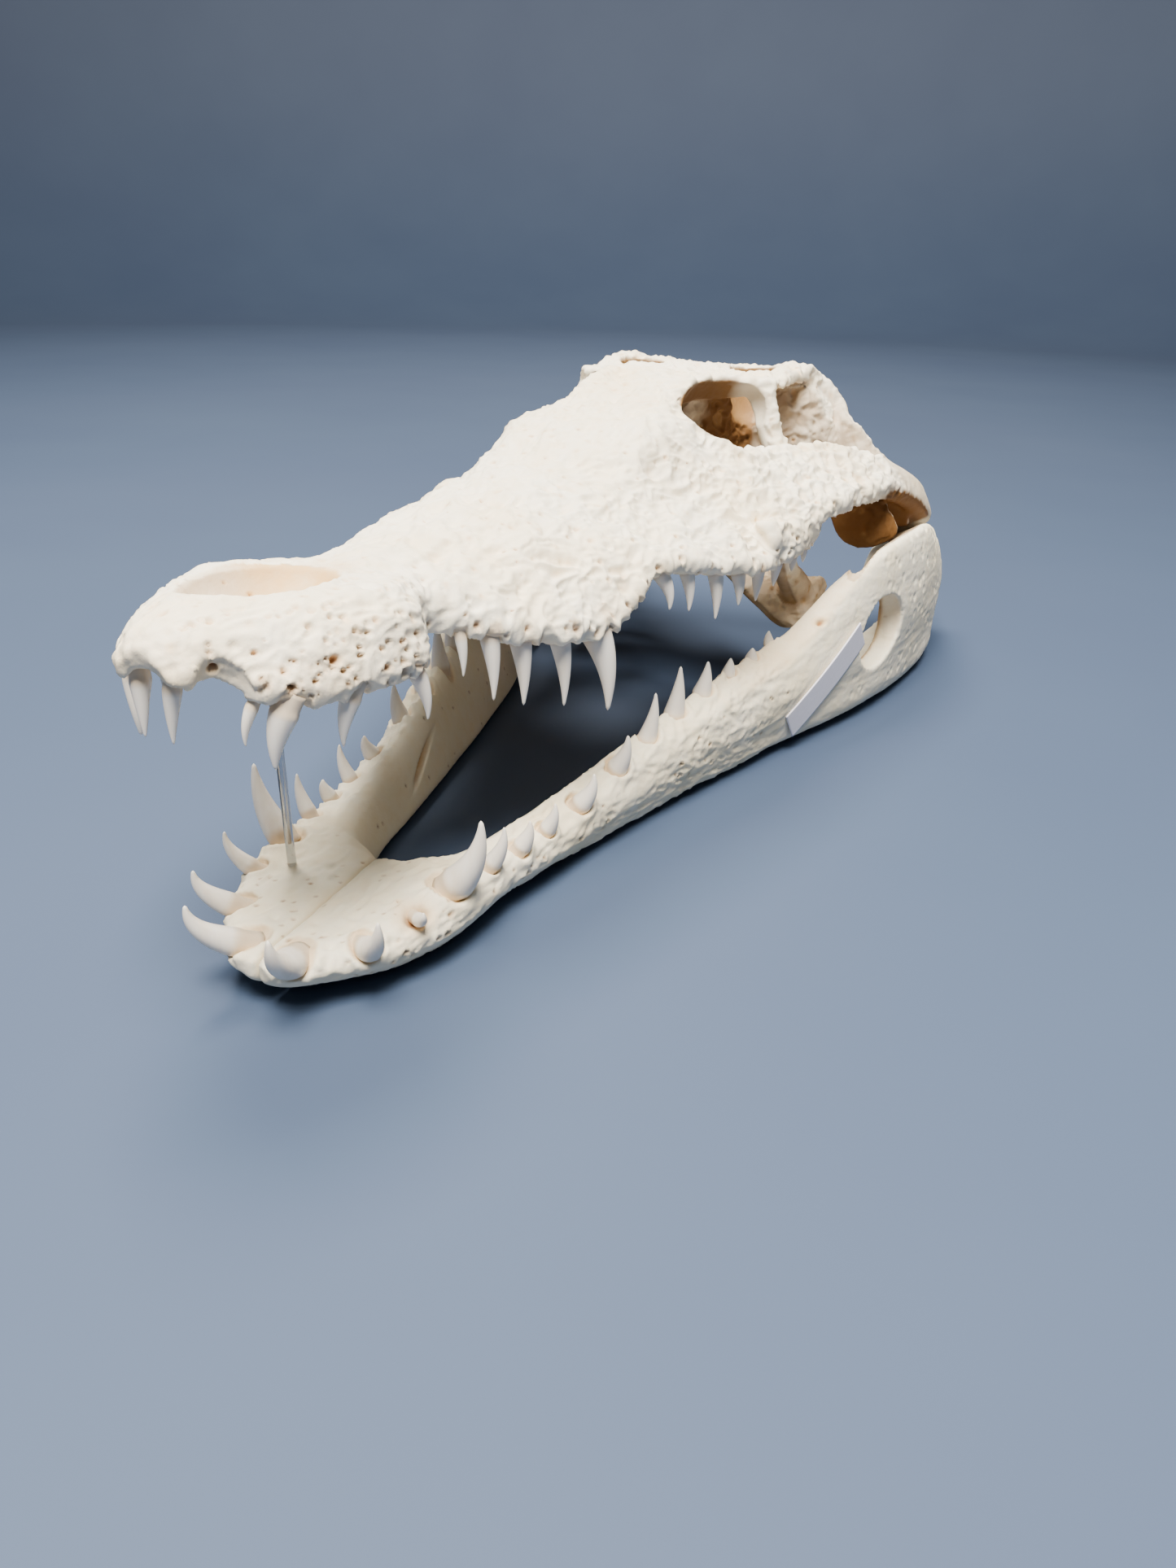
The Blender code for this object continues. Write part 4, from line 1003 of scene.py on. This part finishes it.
def detail_jaw(skin, side):
    p, n = skin.p, skin.n
    x, y, z = p.T
    rng = np.random.default_rng(11 if side > 0.0 else 17)
    outer = ease(-0.05, 0.35, n[:, 0] * side + 0.4 * n[:, 2])
    top = ease(0.3, 0.7, n[:, 2])
    front = fade(0.10, 0.30, y)

    # Ridges along the bone, calmer at the rear
    long_ridges = wrinkles(p, (60.0, 9.0, 75.0), seed=33)
    fine = wrinkles(p, (125.0, 60.0, 125.0), seed=71)
    broad = noise(p * np.array([24.0, 14.0, 24.0]), seed=14)
    calm = 1.0 - 0.78 * ease(0.52, 0.68, y)
    skin.lift += outer * calm * (JAW_RIDGES * long_ridges * ease(0.15, 0.32, y) + JAW_FINE * fine)
    skin.lift += 0.0011 * broad * (0.4 + 0.6 * outer) + 0.00035 * fine * top

    # Dark painted shade on the insides, pits outside and specks inside
    inside = level(JAW_SLOT, p, side) < 1.12
    hollow = ease(0.74, 0.78, y) * fade(1.05, 1.12, y) * ease(0.0, 0.4, -n[:, 0] * side)
    # Painted shade: deep colour on the hollow's inner faces and in the slot
    skin.inner = np.clip(hollow * (x * side > 0.215) + 0.8 * inside, 0.0, 1.0)
    near, _, tag = cells(p * 80.0, seed=3)
    pits = fade(0.10, 0.50, near) * (tag < 0.40) * outer * (0.35 + front + bump(y, 0.95, 0.15))
    skin.lift -= JAW_PIT_DEPTH * pits
    near, _, tag = cells(p * 95.0, seed=8)
    specks = fade(0.06, 0.22, near) * (tag < 0.22) * (1.0 - outer)
    skin.lift -= 0.0007 * specks
    skin.pit += 0.75 * specks

    # Groove seen on the right half's inner face, hole and flat place for the label on the left half
    if side < 0.0:
        skin.groove(SPLENIAL_GROOVE, width=0.0054, depth=0.0062)
    else:
        skin.hole(np.array(JAW_FORAMEN), radius=0.0058, depth=0.0050, squeeze=(1.0, 1.5, 0.7))
        skin.lift *= 1.0 - under_label(p)
    for i, row in enumerate(side_teeth(side)):
        if side > 0.0 and i == CRATER:
            middle = np.array(row[:3]) + np.array([0.002, -0.001, 0.001])
            skin.hole(middle, radius=0.0125, depth=0.0085, squeeze=(1.0, 1.0, 0.8))
        else:
            skin.socket(row, side, deep=0.0034, rim=0.0026, tint=0.50)
    for _ in range(JAW_SIDE_PITS):
        spot = 0.05 + 0.6 * rng.random()
        low = column_at(JAW, 5, spot)
        height = low + (column_at(JAW, 6, spot) - low) * rng.uniform(0.35, 0.9)
        r = rng.uniform(0.0012, 0.0028)
        at = skin.outer_point(side, spot, height)
        skin.hole(at, r, r * 1.2, rng.uniform(0.3, 0.8), (1.0, 1.3, 1.0))
    for _ in range(JAW_TOP_PITS):
        spot = rng.uniform(0.05, 0.19)
        across = rng.uniform(0.004, 0.75) * column_at(JAW, 4, spot)
        r = rng.uniform(0.0007, 0.0015)
        skin.hole(skin.top_point(side * across, spot), r, r * 1.2, rng.uniform(0.4, 0.9))

    # Tan marks, partly painted shade, and nothing under the floor
    # Tan on upper faces between y 0.50 and 0.80
    skin.stain_and_shade += 0.35 * top * ease(0.50, 0.60, y) * fade(0.72, 0.80, y)
    # Painted shade: tan on inward faces round the window
    skin.stain_and_shade += 0.3 * (level(JAW_WINDOW, p, side) < 1.12) * ease(-0.2, 0.2, -n[:, 0] * side)
    skin.push[:, 2] += np.maximum(0.0, -(z + n[:, 2] * skin.lift))


def label_axes():
    along = np.array(LABEL_ALONG) / np.linalg.norm(LABEL_ALONG)
    across = np.array(LABEL_ACROSS) - along * np.dot(LABEL_ACROSS, along)
    return along, across / np.linalg.norm(across)


def under_label(p):
    """1 where the label lies on the left jaw."""
    along, across = label_axes()
    rel = p - np.array(LABEL_CENTRE)
    reach = fade(0.50, 0.56, np.abs(rel @ along) / LABEL_SIZE[0])
    return reach * fade(0.52, 0.75, np.abs(rel @ across) / LABEL_SIZE[1]) * (p[:, 0] > 0.15)


def side_teeth(side):
    other = LEFT_LOWER if side > 0.0 else RIGHT_LOWER
    rows = []
    for i, row in enumerate(LOWER_TEETH):
        rows.append(row[:3] + other[i] if i in other else row)
    return rows


# ---- teeth --------------------------------------------------------------------------------------
def first_way(row, side):
    """Direction in which a tooth leaves its bone."""
    way = np.array([side * row[3] * TOOTH_OUT, row[4] * TOOTH_OUT, row[5] * TOOTH_UP])
    return way / np.linalg.norm(way)


def upper_teeth(side):
    """On the right the second tooth is lost and the first stands further out."""
    if side > 0.0:
        return UPPER_TEETH
    first = (UPPER_TEETH[0][0] + FIRST_RIGHT_OUT,) + UPPER_TEETH[0][1:]
    return (first,) + UPPER_TEETH[2:]


def tooth(row, side, seed, around=30, along=34):
    """Curved cone with two keels and fine striae: vertices and quads."""
    base = np.array([side * row[0], row[1], row[2]])
    reach = np.array([side * row[3], row[4], row[5]])
    length = np.linalg.norm(reach)
    root = base - first_way(row, side) * TOOTH_ROOT
    middle = base + reach * np.array([TOOTH_OUT, TOOTH_OUT, TOOTH_UP])
    tip = base + reach
    handle = 2.0 * middle - 0.5 * (root + tip)
    s = np.linspace(0.0, 1.0, along) ** 0.88
    centre = ((1 - s) ** 2)[:, None] * root + (2 * s * (1 - s))[:, None] * handle
    centre = centre + (s ** 2)[:, None] * tip
    along_dir = unit_rows(np.gradient(centre, axis=0))
    u = unit_rows(np.cross(along_dir, np.array([0.0, 1.0, 0.0])))
    v = np.cross(along_dir, u)
    neck = TOOTH_ROOT / (length + TOOTH_ROOT)
    k = np.clip((s - neck) / (1.0 - neck), 0.0, 1.0)
    size = 0.5 * row[6] * (1.0 - TOOTH_TAPER * k ** 1.18)
    size = size * (1.0 - 0.10 * ease(0.0, 0.12, neck - s + 0.04))
    size = size * np.sqrt(np.clip((1.0 - s) / 0.018, 0.0, 1.0).clip(0.02, 1.0))
    turn = circle(around)
    keel = np.exp(-(np.sin(turn) / KEEL[0]) ** 2) * KEEL[1]
    grain = 0.006 * np.sin(turn * 13.0 + seed) + 0.004 * np.sin(turn * 21.0 + 2.0 * seed)
    shape = 1.0 + keel[None, :] + grain[None, :] * (1.0 - k)[:, None]
    ring = (centre[:, None] + u[:, None] * (size[:, None] * shape * np.cos(turn))[..., None]
            + v[:, None] * (size[:, None] * shape * np.sin(turn) * 0.94)[..., None])
    verts, tris = loft(ring)
    height = np.concatenate([np.repeat(k, around), [0.0, 1.0]])
    return verts, tris, height


def build_teeth(name, rows, sides, frame_of, material):
    solids = []
    heights = []
    for side in sides:
        for i, row in enumerate(rows(side)):
            verts, tris, height = tooth(row, side, i + 3.0 * side)
            solids.append((verts, tris))
            heights.append(height)
    obj = gather(name, solids)
    place(obj, frame_of(coordinates(obj)))
    keep_attribute(obj, "height", np.concatenate(heights))
    shade_smooth(obj)
    dress(obj, material)
    return obj


# ---- materials ----------------------------------------------------------------------------------
class Look:
    """Small helper round one Principled material."""

    def __init__(self, name):
        self.mat = bpy.data.materials.new(name)
        self.mat.use_nodes = True
        self.tree = self.mat.node_tree
        self.shader = self.tree.nodes["Principled BSDF"]
        self.coords = self.tree.nodes.new("ShaderNodeTexCoord")

    def node(self, kind, inputs, **values):
        """New node whose inputs are each a value or another node's output."""
        made = self.tree.nodes.new(kind)
        for key, value in values.items():
            setattr(made, key, value)
        for socket, value in inputs.items():
            if isinstance(value, bpy.types.NodeSocket):
                self.tree.links.new(value, made.inputs[socket])
            else:
                made.inputs[socket].default_value = value
        return made

    def put(self, socket, value):
        self.shader.inputs[socket].default_value = value

    def feed(self, socket, source):
        self.tree.links.new(source, self.shader.inputs[socket])

    def speckle(self, scale, detail=4.0, rough=0.6, stretch=(1.0, 1.0, 1.0)):
        place = self.coords.outputs["Object"]
        mapping = self.node("ShaderNodeMapping", {"Scale": stretch, "Vector": place})
        made = self.node("ShaderNodeTexNoise", {"Vector": mapping.outputs["Vector"], "Scale": scale,
                                                "Detail": detail, "Roughness": rough})
        return made.outputs["Fac"]

    def value(self, name):
        return self.node("ShaderNodeAttribute", {}, attribute_name=name).outputs["Fac"]

    def spread(self, source, low, high, to_low=0.0, to_high=1.0):
        made = self.node("ShaderNodeMapRange", {"Value": source, "From Min": low, "From Max": high,
                                                "To Min": to_low, "To Max": to_high})
        return made.outputs["Result"]

    def times(self, a, b):
        return self.node("ShaderNodeMath", {0: a, 1: b}, operation="MULTIPLY").outputs[0]

    def mix(self, factor, a, b):
        a, b = ((*c, 1.0) if isinstance(c, tuple) else c for c in (a, b))
        return self.node("ShaderNodeMix", {0: factor, 6: a, 7: b}, data_type="RGBA").outputs[2]

    def relief(self, source, strength, distance, onto=None):
        inputs = {"Strength": strength, "Distance": distance, "Height": source}
        if onto is not None:
            inputs["Normal"] = onto
        return self.node("ShaderNodeBump", inputs).outputs["Normal"]


def bone_look(name, colours):
    pale, warm, tan, dark, deep = colours
    look = Look(name)
    blotch = look.spread(look.speckle(26.0, 3.0), 0.42, 0.70)
    small = look.spread(look.speckle(210.0, 4.0, 0.65), 0.46, 0.74)
    colour = look.mix(look.times(blotch, 0.75), pale, warm)
    colour = look.mix(look.times(small, 0.42), colour, warm)
    patchy = look.spread(look.speckle(120.0, 3.0), 0.25, 0.60, 0.45, 1.0)
    uneven = look.spread(look.speckle(60.0, 3.0), 0.3, 0.65, 0.55, 1.0)
    # Painted shade: deep colour inside openings and recesses and under the roof
    colour = look.mix(look.times(look.value("inner"), uneven), colour, deep)
    # Tan for real stains and for painted shade in hollows
    colour = look.mix(look.times(look.value("stain_and_shade"), patchy), colour, tan)
    # Dark in pits: painted shade, partly stain
    colour = look.mix(look.value("pit"), colour, dark)
    look.feed("Base Color", colour)
    fuzz = look.speckle(900.0, 5.0, 0.7)
    pores = look.speckle(380.0, 4.0, 0.6)
    normal = look.relief(pores, 0.35, 0.0006)
    normal = look.relief(fuzz, 0.22, 0.0003, normal)
    look.feed("Normal", normal)
    look.feed("Roughness", look.spread(pores, 0.3, 0.7, 0.60, 0.80))
    look.put("Specular IOR Level", 0.35)
    look.put("Subsurface Weight", 0.12)
    look.put("Subsurface Radius", (0.0016, 0.0011, 0.0008))
    return look.mat


def enamel_look(name):
    look = Look(name)
    streak = look.speckle(240.0, 3.0, 0.6, (1.0, 1.0, 0.10))
    height = look.value("height")
    pale, warm, milky, stained = ENAMEL_COLOURS
    colour = look.mix(look.spread(streak, 0.35, 0.75), pale, warm)
    cloudy = look.spread(look.speckle(60.0, 3.0), 0.40, 0.70)
    colour = look.mix(look.times(cloudy, 0.45), colour, milky)
    root = look.spread(height, 0.0, 0.11, 1.0, 0.0)
    colour = look.mix(look.times(root, 0.55), colour, stained)
    look.feed("Base Color", colour)
    look.feed("Normal", look.relief(streak, 0.25, 0.0004))
    look.feed("Roughness", look.spread(streak, 0.3, 0.7, 0.30, 0.44))
    look.put("Specular IOR Level", 0.45)
    look.put("Subsurface Weight", 0.18)
    look.put("Subsurface Radius", (0.0018, 0.0013, 0.0010))
    look.put("Coat Weight", 0.12)
    look.put("Coat Roughness", 0.25)
    return look.mat


def rod_look(name):
    look = Look(name)
    tint = look.spread(look.speckle(70.0, 2.0), 0.3, 0.7)
    look.feed("Base Color", look.mix(tint, *ROD_COLOURS))
    look.feed("Normal", look.relief(look.speckle(160.0, 2.0, 0.5, (1.0, 1.0, 0.04)), 0.08, 0.0002))
    look.feed("Roughness", look.spread(look.speckle(300.0, 3.0), 0.3, 0.7, 0.04, 0.12))
    look.put("Transmission Weight", 0.92)
    look.put("IOR", 1.52)
    return look.mat


def paper_look(name):
    look = Look(name)
    fibre = look.speckle(420.0, 4.0, 0.7)
    pale, grey, aged = PAPER_COLOURS
    colour = look.mix(look.spread(fibre, 0.35, 0.7), pale, grey)
    colour = look.mix(look.spread(look.speckle(45.0, 3.0), 0.45, 0.75, 0.0, 0.4), colour, aged)
    look.feed("Base Color", colour)
    look.feed("Normal", look.relief(fibre, 0.15, 0.0002))
    look.feed("Roughness", look.spread(fibre, 0.3, 0.7, 0.50, 0.66))
    return look.mat


def floor_look(name):
    look = Look(name)
    cloud = look.spread(look.speckle(3.0, 3.0), 0.3, 0.7)
    look.feed("Base Color", look.mix(cloud, *FLOOR_COLOURS))
    look.put("Roughness", 0.7)
    return look.mat


def dress(obj, material):
    obj.data.materials.clear()
    obj.data.materials.append(material)


# ---- pieces -------------------------------------------------------------------------------------
def build_cranium():
    solids = [
        loft(rounded(snout_rings())), loft(rounded(roof_rings())),
        loft(rounded(braincase_rings())), loft(bar_rings(PALATINE, 1.0, sides=28)),
        loft(ball(OCCIPITAL)),
    ]
    for side in (1.0, -1.0):
        for rows in (MAXILLA_REAR, POSTORBITAL, QUADRATE_CREST, ECTOPTERYGOID, QUADRATE_FLANGE):
            solids.append(loft(bar_rings(rows, side)))
        solids.append(loft(rounded(plate_rings(CHEEK, side))))
        solids.append(loft(rounded(wing_rings(QUADRATE, side))))
        solids.append(loft(rounded(wing_rings(PTERYGOID, side))))
        solids.append(loft(ball((CONDYLE_CENTRE, CONDYLE_RADII, 0.0), side)))
    obj = gather("cranium_bone", solids)
    remesh(obj, COARSE, rounds=4)
    tools = [loft(ball(NARIS)), loft(ball(SPINAL_HOLE))]
    for side in (1.0, -1.0):
        for shape in (ORBIT, SOCKET_FLOOR, PALATE_HOLE, TEMPLE, JAW_NOTCH):
            tools.append(loft(ball(shape, side)))
    tool = gather("openings", tools)
    remesh(tool, COARSE, rounds=2)
    cut(obj, tool)
    remesh(obj, CRANIUM_CELL, rounds=5)
    skin = Skin(obj)
    detail_cranium(skin)
    skin.finish(head_to_metres)
    return obj


def build_jaw(name, side):
    obj = gather(name, [loft(rounded(jaw_rings(side)))])
    remesh(obj, COARSE, rounds=2)
    condyle = ball((CONDYLE_CENTRE, CONDYLE_RADII, 0.0), side, JOINT_ROOM)
    verts, tris = loft(condyle)
    tool = gather("openings", [loft(rounded(hollow_rings(side), steps=4)),
                               loft(ball(JAW_WINDOW, side)), loft(ball(JAW_SLOT, side)),
                               (to_floor(verts), tris)])
    remesh(tool, COARSE, rounds=2)
    cut(obj, tool)
    remesh(obj, JAW_CELL, rounds=4)
    skin = Skin(obj)
    detail_jaw(skin, side)
    skin.finish(to_metres)
    return obj


def build_rod(material):
    a = np.array(ROD_FOOT)
    b = np.array(ROD_HEAD)
    rows = [(*a, 0.8 * ROD_RADIUS, 0.8 * ROD_RADIUS)]
    rows += [(*(a + (b - a) * t), ROD_RADIUS, ROD_RADIUS) for t in (0.004, 0.5, 0.996)]
    rows.append((*b, 0.8 * ROD_RADIUS, 0.8 * ROD_RADIUS))
    verts, tris = loft(bar_rings(rows, 1.0, step=0.0012, sides=40))
    obj = new_object("prop_rod_clear", to_metres(verts), tris)
    shade_smooth(obj)
    dress(obj, material)
    return obj


def build_label(material, jaw):
    """Paper strip laid on the left jaw's outer face."""
    along, across = label_axes()
    out = np.cross(across, along)
    centre = to_metres(np.array(LABEL_CENTRE)[None])[0]
    nu, nv = LABEL_GRID
    u, v = np.meshgrid(np.linspace(-0.5, 0.5, nu), np.linspace(-0.5, 0.5, nv), indexing="ij")
    flat = centre + along * (u[..., None] * LABEL_SIZE[0] * UNIT)
    flat = flat + across * (v[..., None] * LABEL_SIZE[1] * UNIT)
    grid = flat.reshape(-1, 3)
    tree = jaw_tree(jaw)
    lift = np.zeros(len(grid))
    for i, point in enumerate(grid):
        hit = tree.ray_cast(Vector(point + out * LABEL_RAY), Vector(-out))
        lift[i] = LABEL_RAY - hit[3] if hit[0] is not None else 0.0
    lift = smooth_grid(lift.reshape(nu, nv), 4)
    terms = np.stack([0.0 * u + 1.0, u, v, u * u], axis=-1).reshape(-1, 4)
    fitted = (terms @ np.linalg.lstsq(terms, lift.ravel(), rcond=None)[0]).reshape(nu, nv)
    lift = fitted + max(0.0, float(np.percentile(lift - fitted, 98.0)))
    front = flat + out * (lift[..., None] + LABEL_CLEAR)
    back = front - out * LABEL_THICKNESS
    verts = np.concatenate([front.reshape(-1, 3), back.reshape(-1, 3)])
    index = np.arange(nu * nv).reshape(nu, nv)
    quads = [np.stack([index[:-1, :-1], index[1:, :-1], index[1:, 1:], index[:-1, 1:]], -1)]
    quads[0] = quads[0].reshape(-1, 4)
    quads.append(quads[0][:, ::-1] + nu * nv)
    rim = np.concatenate([index[:, 0], index[-1, 1:], index[-2::-1, -1], index[0, -2:0:-1]])
    nxt = np.roll(rim, -1)
    quads.append(np.stack([nxt, rim, rim + nu * nv, nxt + nu * nv], -1))
    obj = new_object("label_paper", verts, np.concatenate(quads))
    bm = bmesh.new()
    bm.from_mesh(obj.data)
    bmesh.ops.recalc_face_normals(bm, faces=bm.faces)
    bm.to_mesh(obj.data)
    bm.free()
    dress(obj, material)
    return obj


def jaw_tree(jaw):
    verts = [v.co.copy() for v in jaw.data.vertices]
    faces = [tuple(f.vertices) for f in jaw.data.polygons]
    return BVHTree.FromPolygons(verts, faces)


def smooth_grid(values, rounds):
    for _ in range(rounds):
        edged = np.pad(values, 1, mode="edge")
        beside = edged[:-2, 1:-1] + edged[2:, 1:-1] + edged[1:-1, :-2] + edged[1:-1, 2:]
        values = (beside + 4 * values) / 8.0
    return values


def build_stage(material):
    """Level floor that sweeps up into a round backdrop without a corner."""
    around = 96
    turn = circle(around)
    curve = np.linspace(0.0, 0.5 * math.pi, 16)
    reach = STAGE_REACH + STAGE_BEND * np.sin(curve)
    reach = np.concatenate([[0.6, 1.4], reach, [STAGE_REACH + STAGE_BEND]])
    height = np.concatenate([[0.0, 0.0], STAGE_BEND * (1.0 - np.cos(curve)), [STAGE_TOP]])
    rings = np.stack([np.outer(reach, np.cos(turn)), np.outer(reach, np.sin(turn)),
                      np.repeat(height[:, None], around, 1)], axis=-1)
    verts = np.concatenate([rings.reshape(-1, 3), [[0.0, 0.0, 0.0]]])
    i, j = np.meshgrid(np.arange(len(reach) - 1), np.arange(around), indexing="ij")
    a = (i * around + j).ravel()
    b = (i * around + (j + 1) % around).ravel()
    k = np.arange(around)
    middle = np.full(around, len(verts) - 1)
    tris = np.concatenate([np.stack([a, a + around, b + around], 1),
                           np.stack([a, b + around, b], 1),
                           np.stack([middle, k, (k + 1) % around], 1)])
    floor = new_object("studio_floor", verts, tris)
    shade_smooth(floor)
    dress(floor, material)


def area_light(name, place_at, aim, size, power, colour):
    data = bpy.data.lights.new(name, "AREA")
    data.shape = "RECTANGLE"
    data.size = size[0]
    data.size_y = size[1]
    data.energy = power
    data.color = colour
    obj = bpy.data.objects.new(name, data)
    obj.location = place_at
    obj.rotation_euler = (Vector(aim) - Vector(place_at)).to_track_quat("-Z", "Y").to_euler()
    bpy.context.scene.collection.objects.link(obj)


def build_camera():
    yaw, pitch, roll = CAMERA_TURN
    level_part = math.cos(pitch)
    forward = Vector((-math.sin(yaw) * level_part, math.cos(yaw) * level_part, -math.sin(pitch)))
    right = Vector((math.cos(yaw), math.sin(yaw), 0.0))
    up = right.cross(forward)
    right_rolled = right * math.cos(roll) + up * math.sin(roll)
    up_rolled = up * math.cos(roll) - right * math.sin(roll)
    data = bpy.data.cameras.new("photo_camera")
    data.sensor_width = SENSOR
    data.sensor_fit = "AUTO"
    data.lens = FOCAL_PIXELS / PHOTO_HEIGHT * SENSOR
    data.clip_start = 0.01
    obj = bpy.data.objects.new("photo_camera", data)
    spot = to_metres(np.array([CAMERA_PLACE]))[0]
    turn = Matrix((right_rolled, up_rolled, -forward)).transposed().to_4x4()
    obj.matrix_world = Matrix.Translation(Vector(spot)) @ turn
    bpy.context.scene.collection.objects.link(obj)
    bpy.context.scene.camera = obj


def build_lights():
    world = bpy.data.worlds.new("studio")
    world.use_nodes = True
    backdrop = world.node_tree.nodes["Background"]
    backdrop.inputs["Color"].default_value = WORLD_COLOUR
    backdrop.inputs["Strength"].default_value = WORLD_STRENGTH
    bpy.context.scene.world = world
    for row in LIGHTS:
        area_light(*row)


def main():
    cranium_bone = bone_look("cranium_bleached", CRANIUM_COLOURS)
    jaw_bone = bone_look("jaw_bleached", JAW_COLOURS)
    enamel = enamel_look("tooth_enamel")
    cranium = build_cranium()
    dress(cranium, cranium_bone)
    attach(cranium, "root")
    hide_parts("cranium")
    teeth = build_teeth("upper_teeth", upper_teeth, (1.0, -1.0), head_to_metres, enamel)
    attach(teeth, "root")
    for name, side in (("left", 1.0), ("right", -1.0)):
        jaw = build_jaw("jaw_bone_" + name, side)
        dress(jaw, jaw_bone)
        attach(jaw, "root")
        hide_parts("mandible_" + name)
        teeth = build_teeth("lower_teeth_" + name, side_teeth, (side,), to_metres, enamel)
        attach(teeth, "root")
        if side > 0.0:
            label = build_label(paper_look("label_paper_white"), jaw)
            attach(label, "root")
            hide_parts("specimen_label")
    rod = build_rod(rod_look("rod_clear"))
    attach(rod, "root")
    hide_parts("prop_rod")
    build_stage(floor_look("studio_grey"))
    build_lights()
    build_camera()


main()
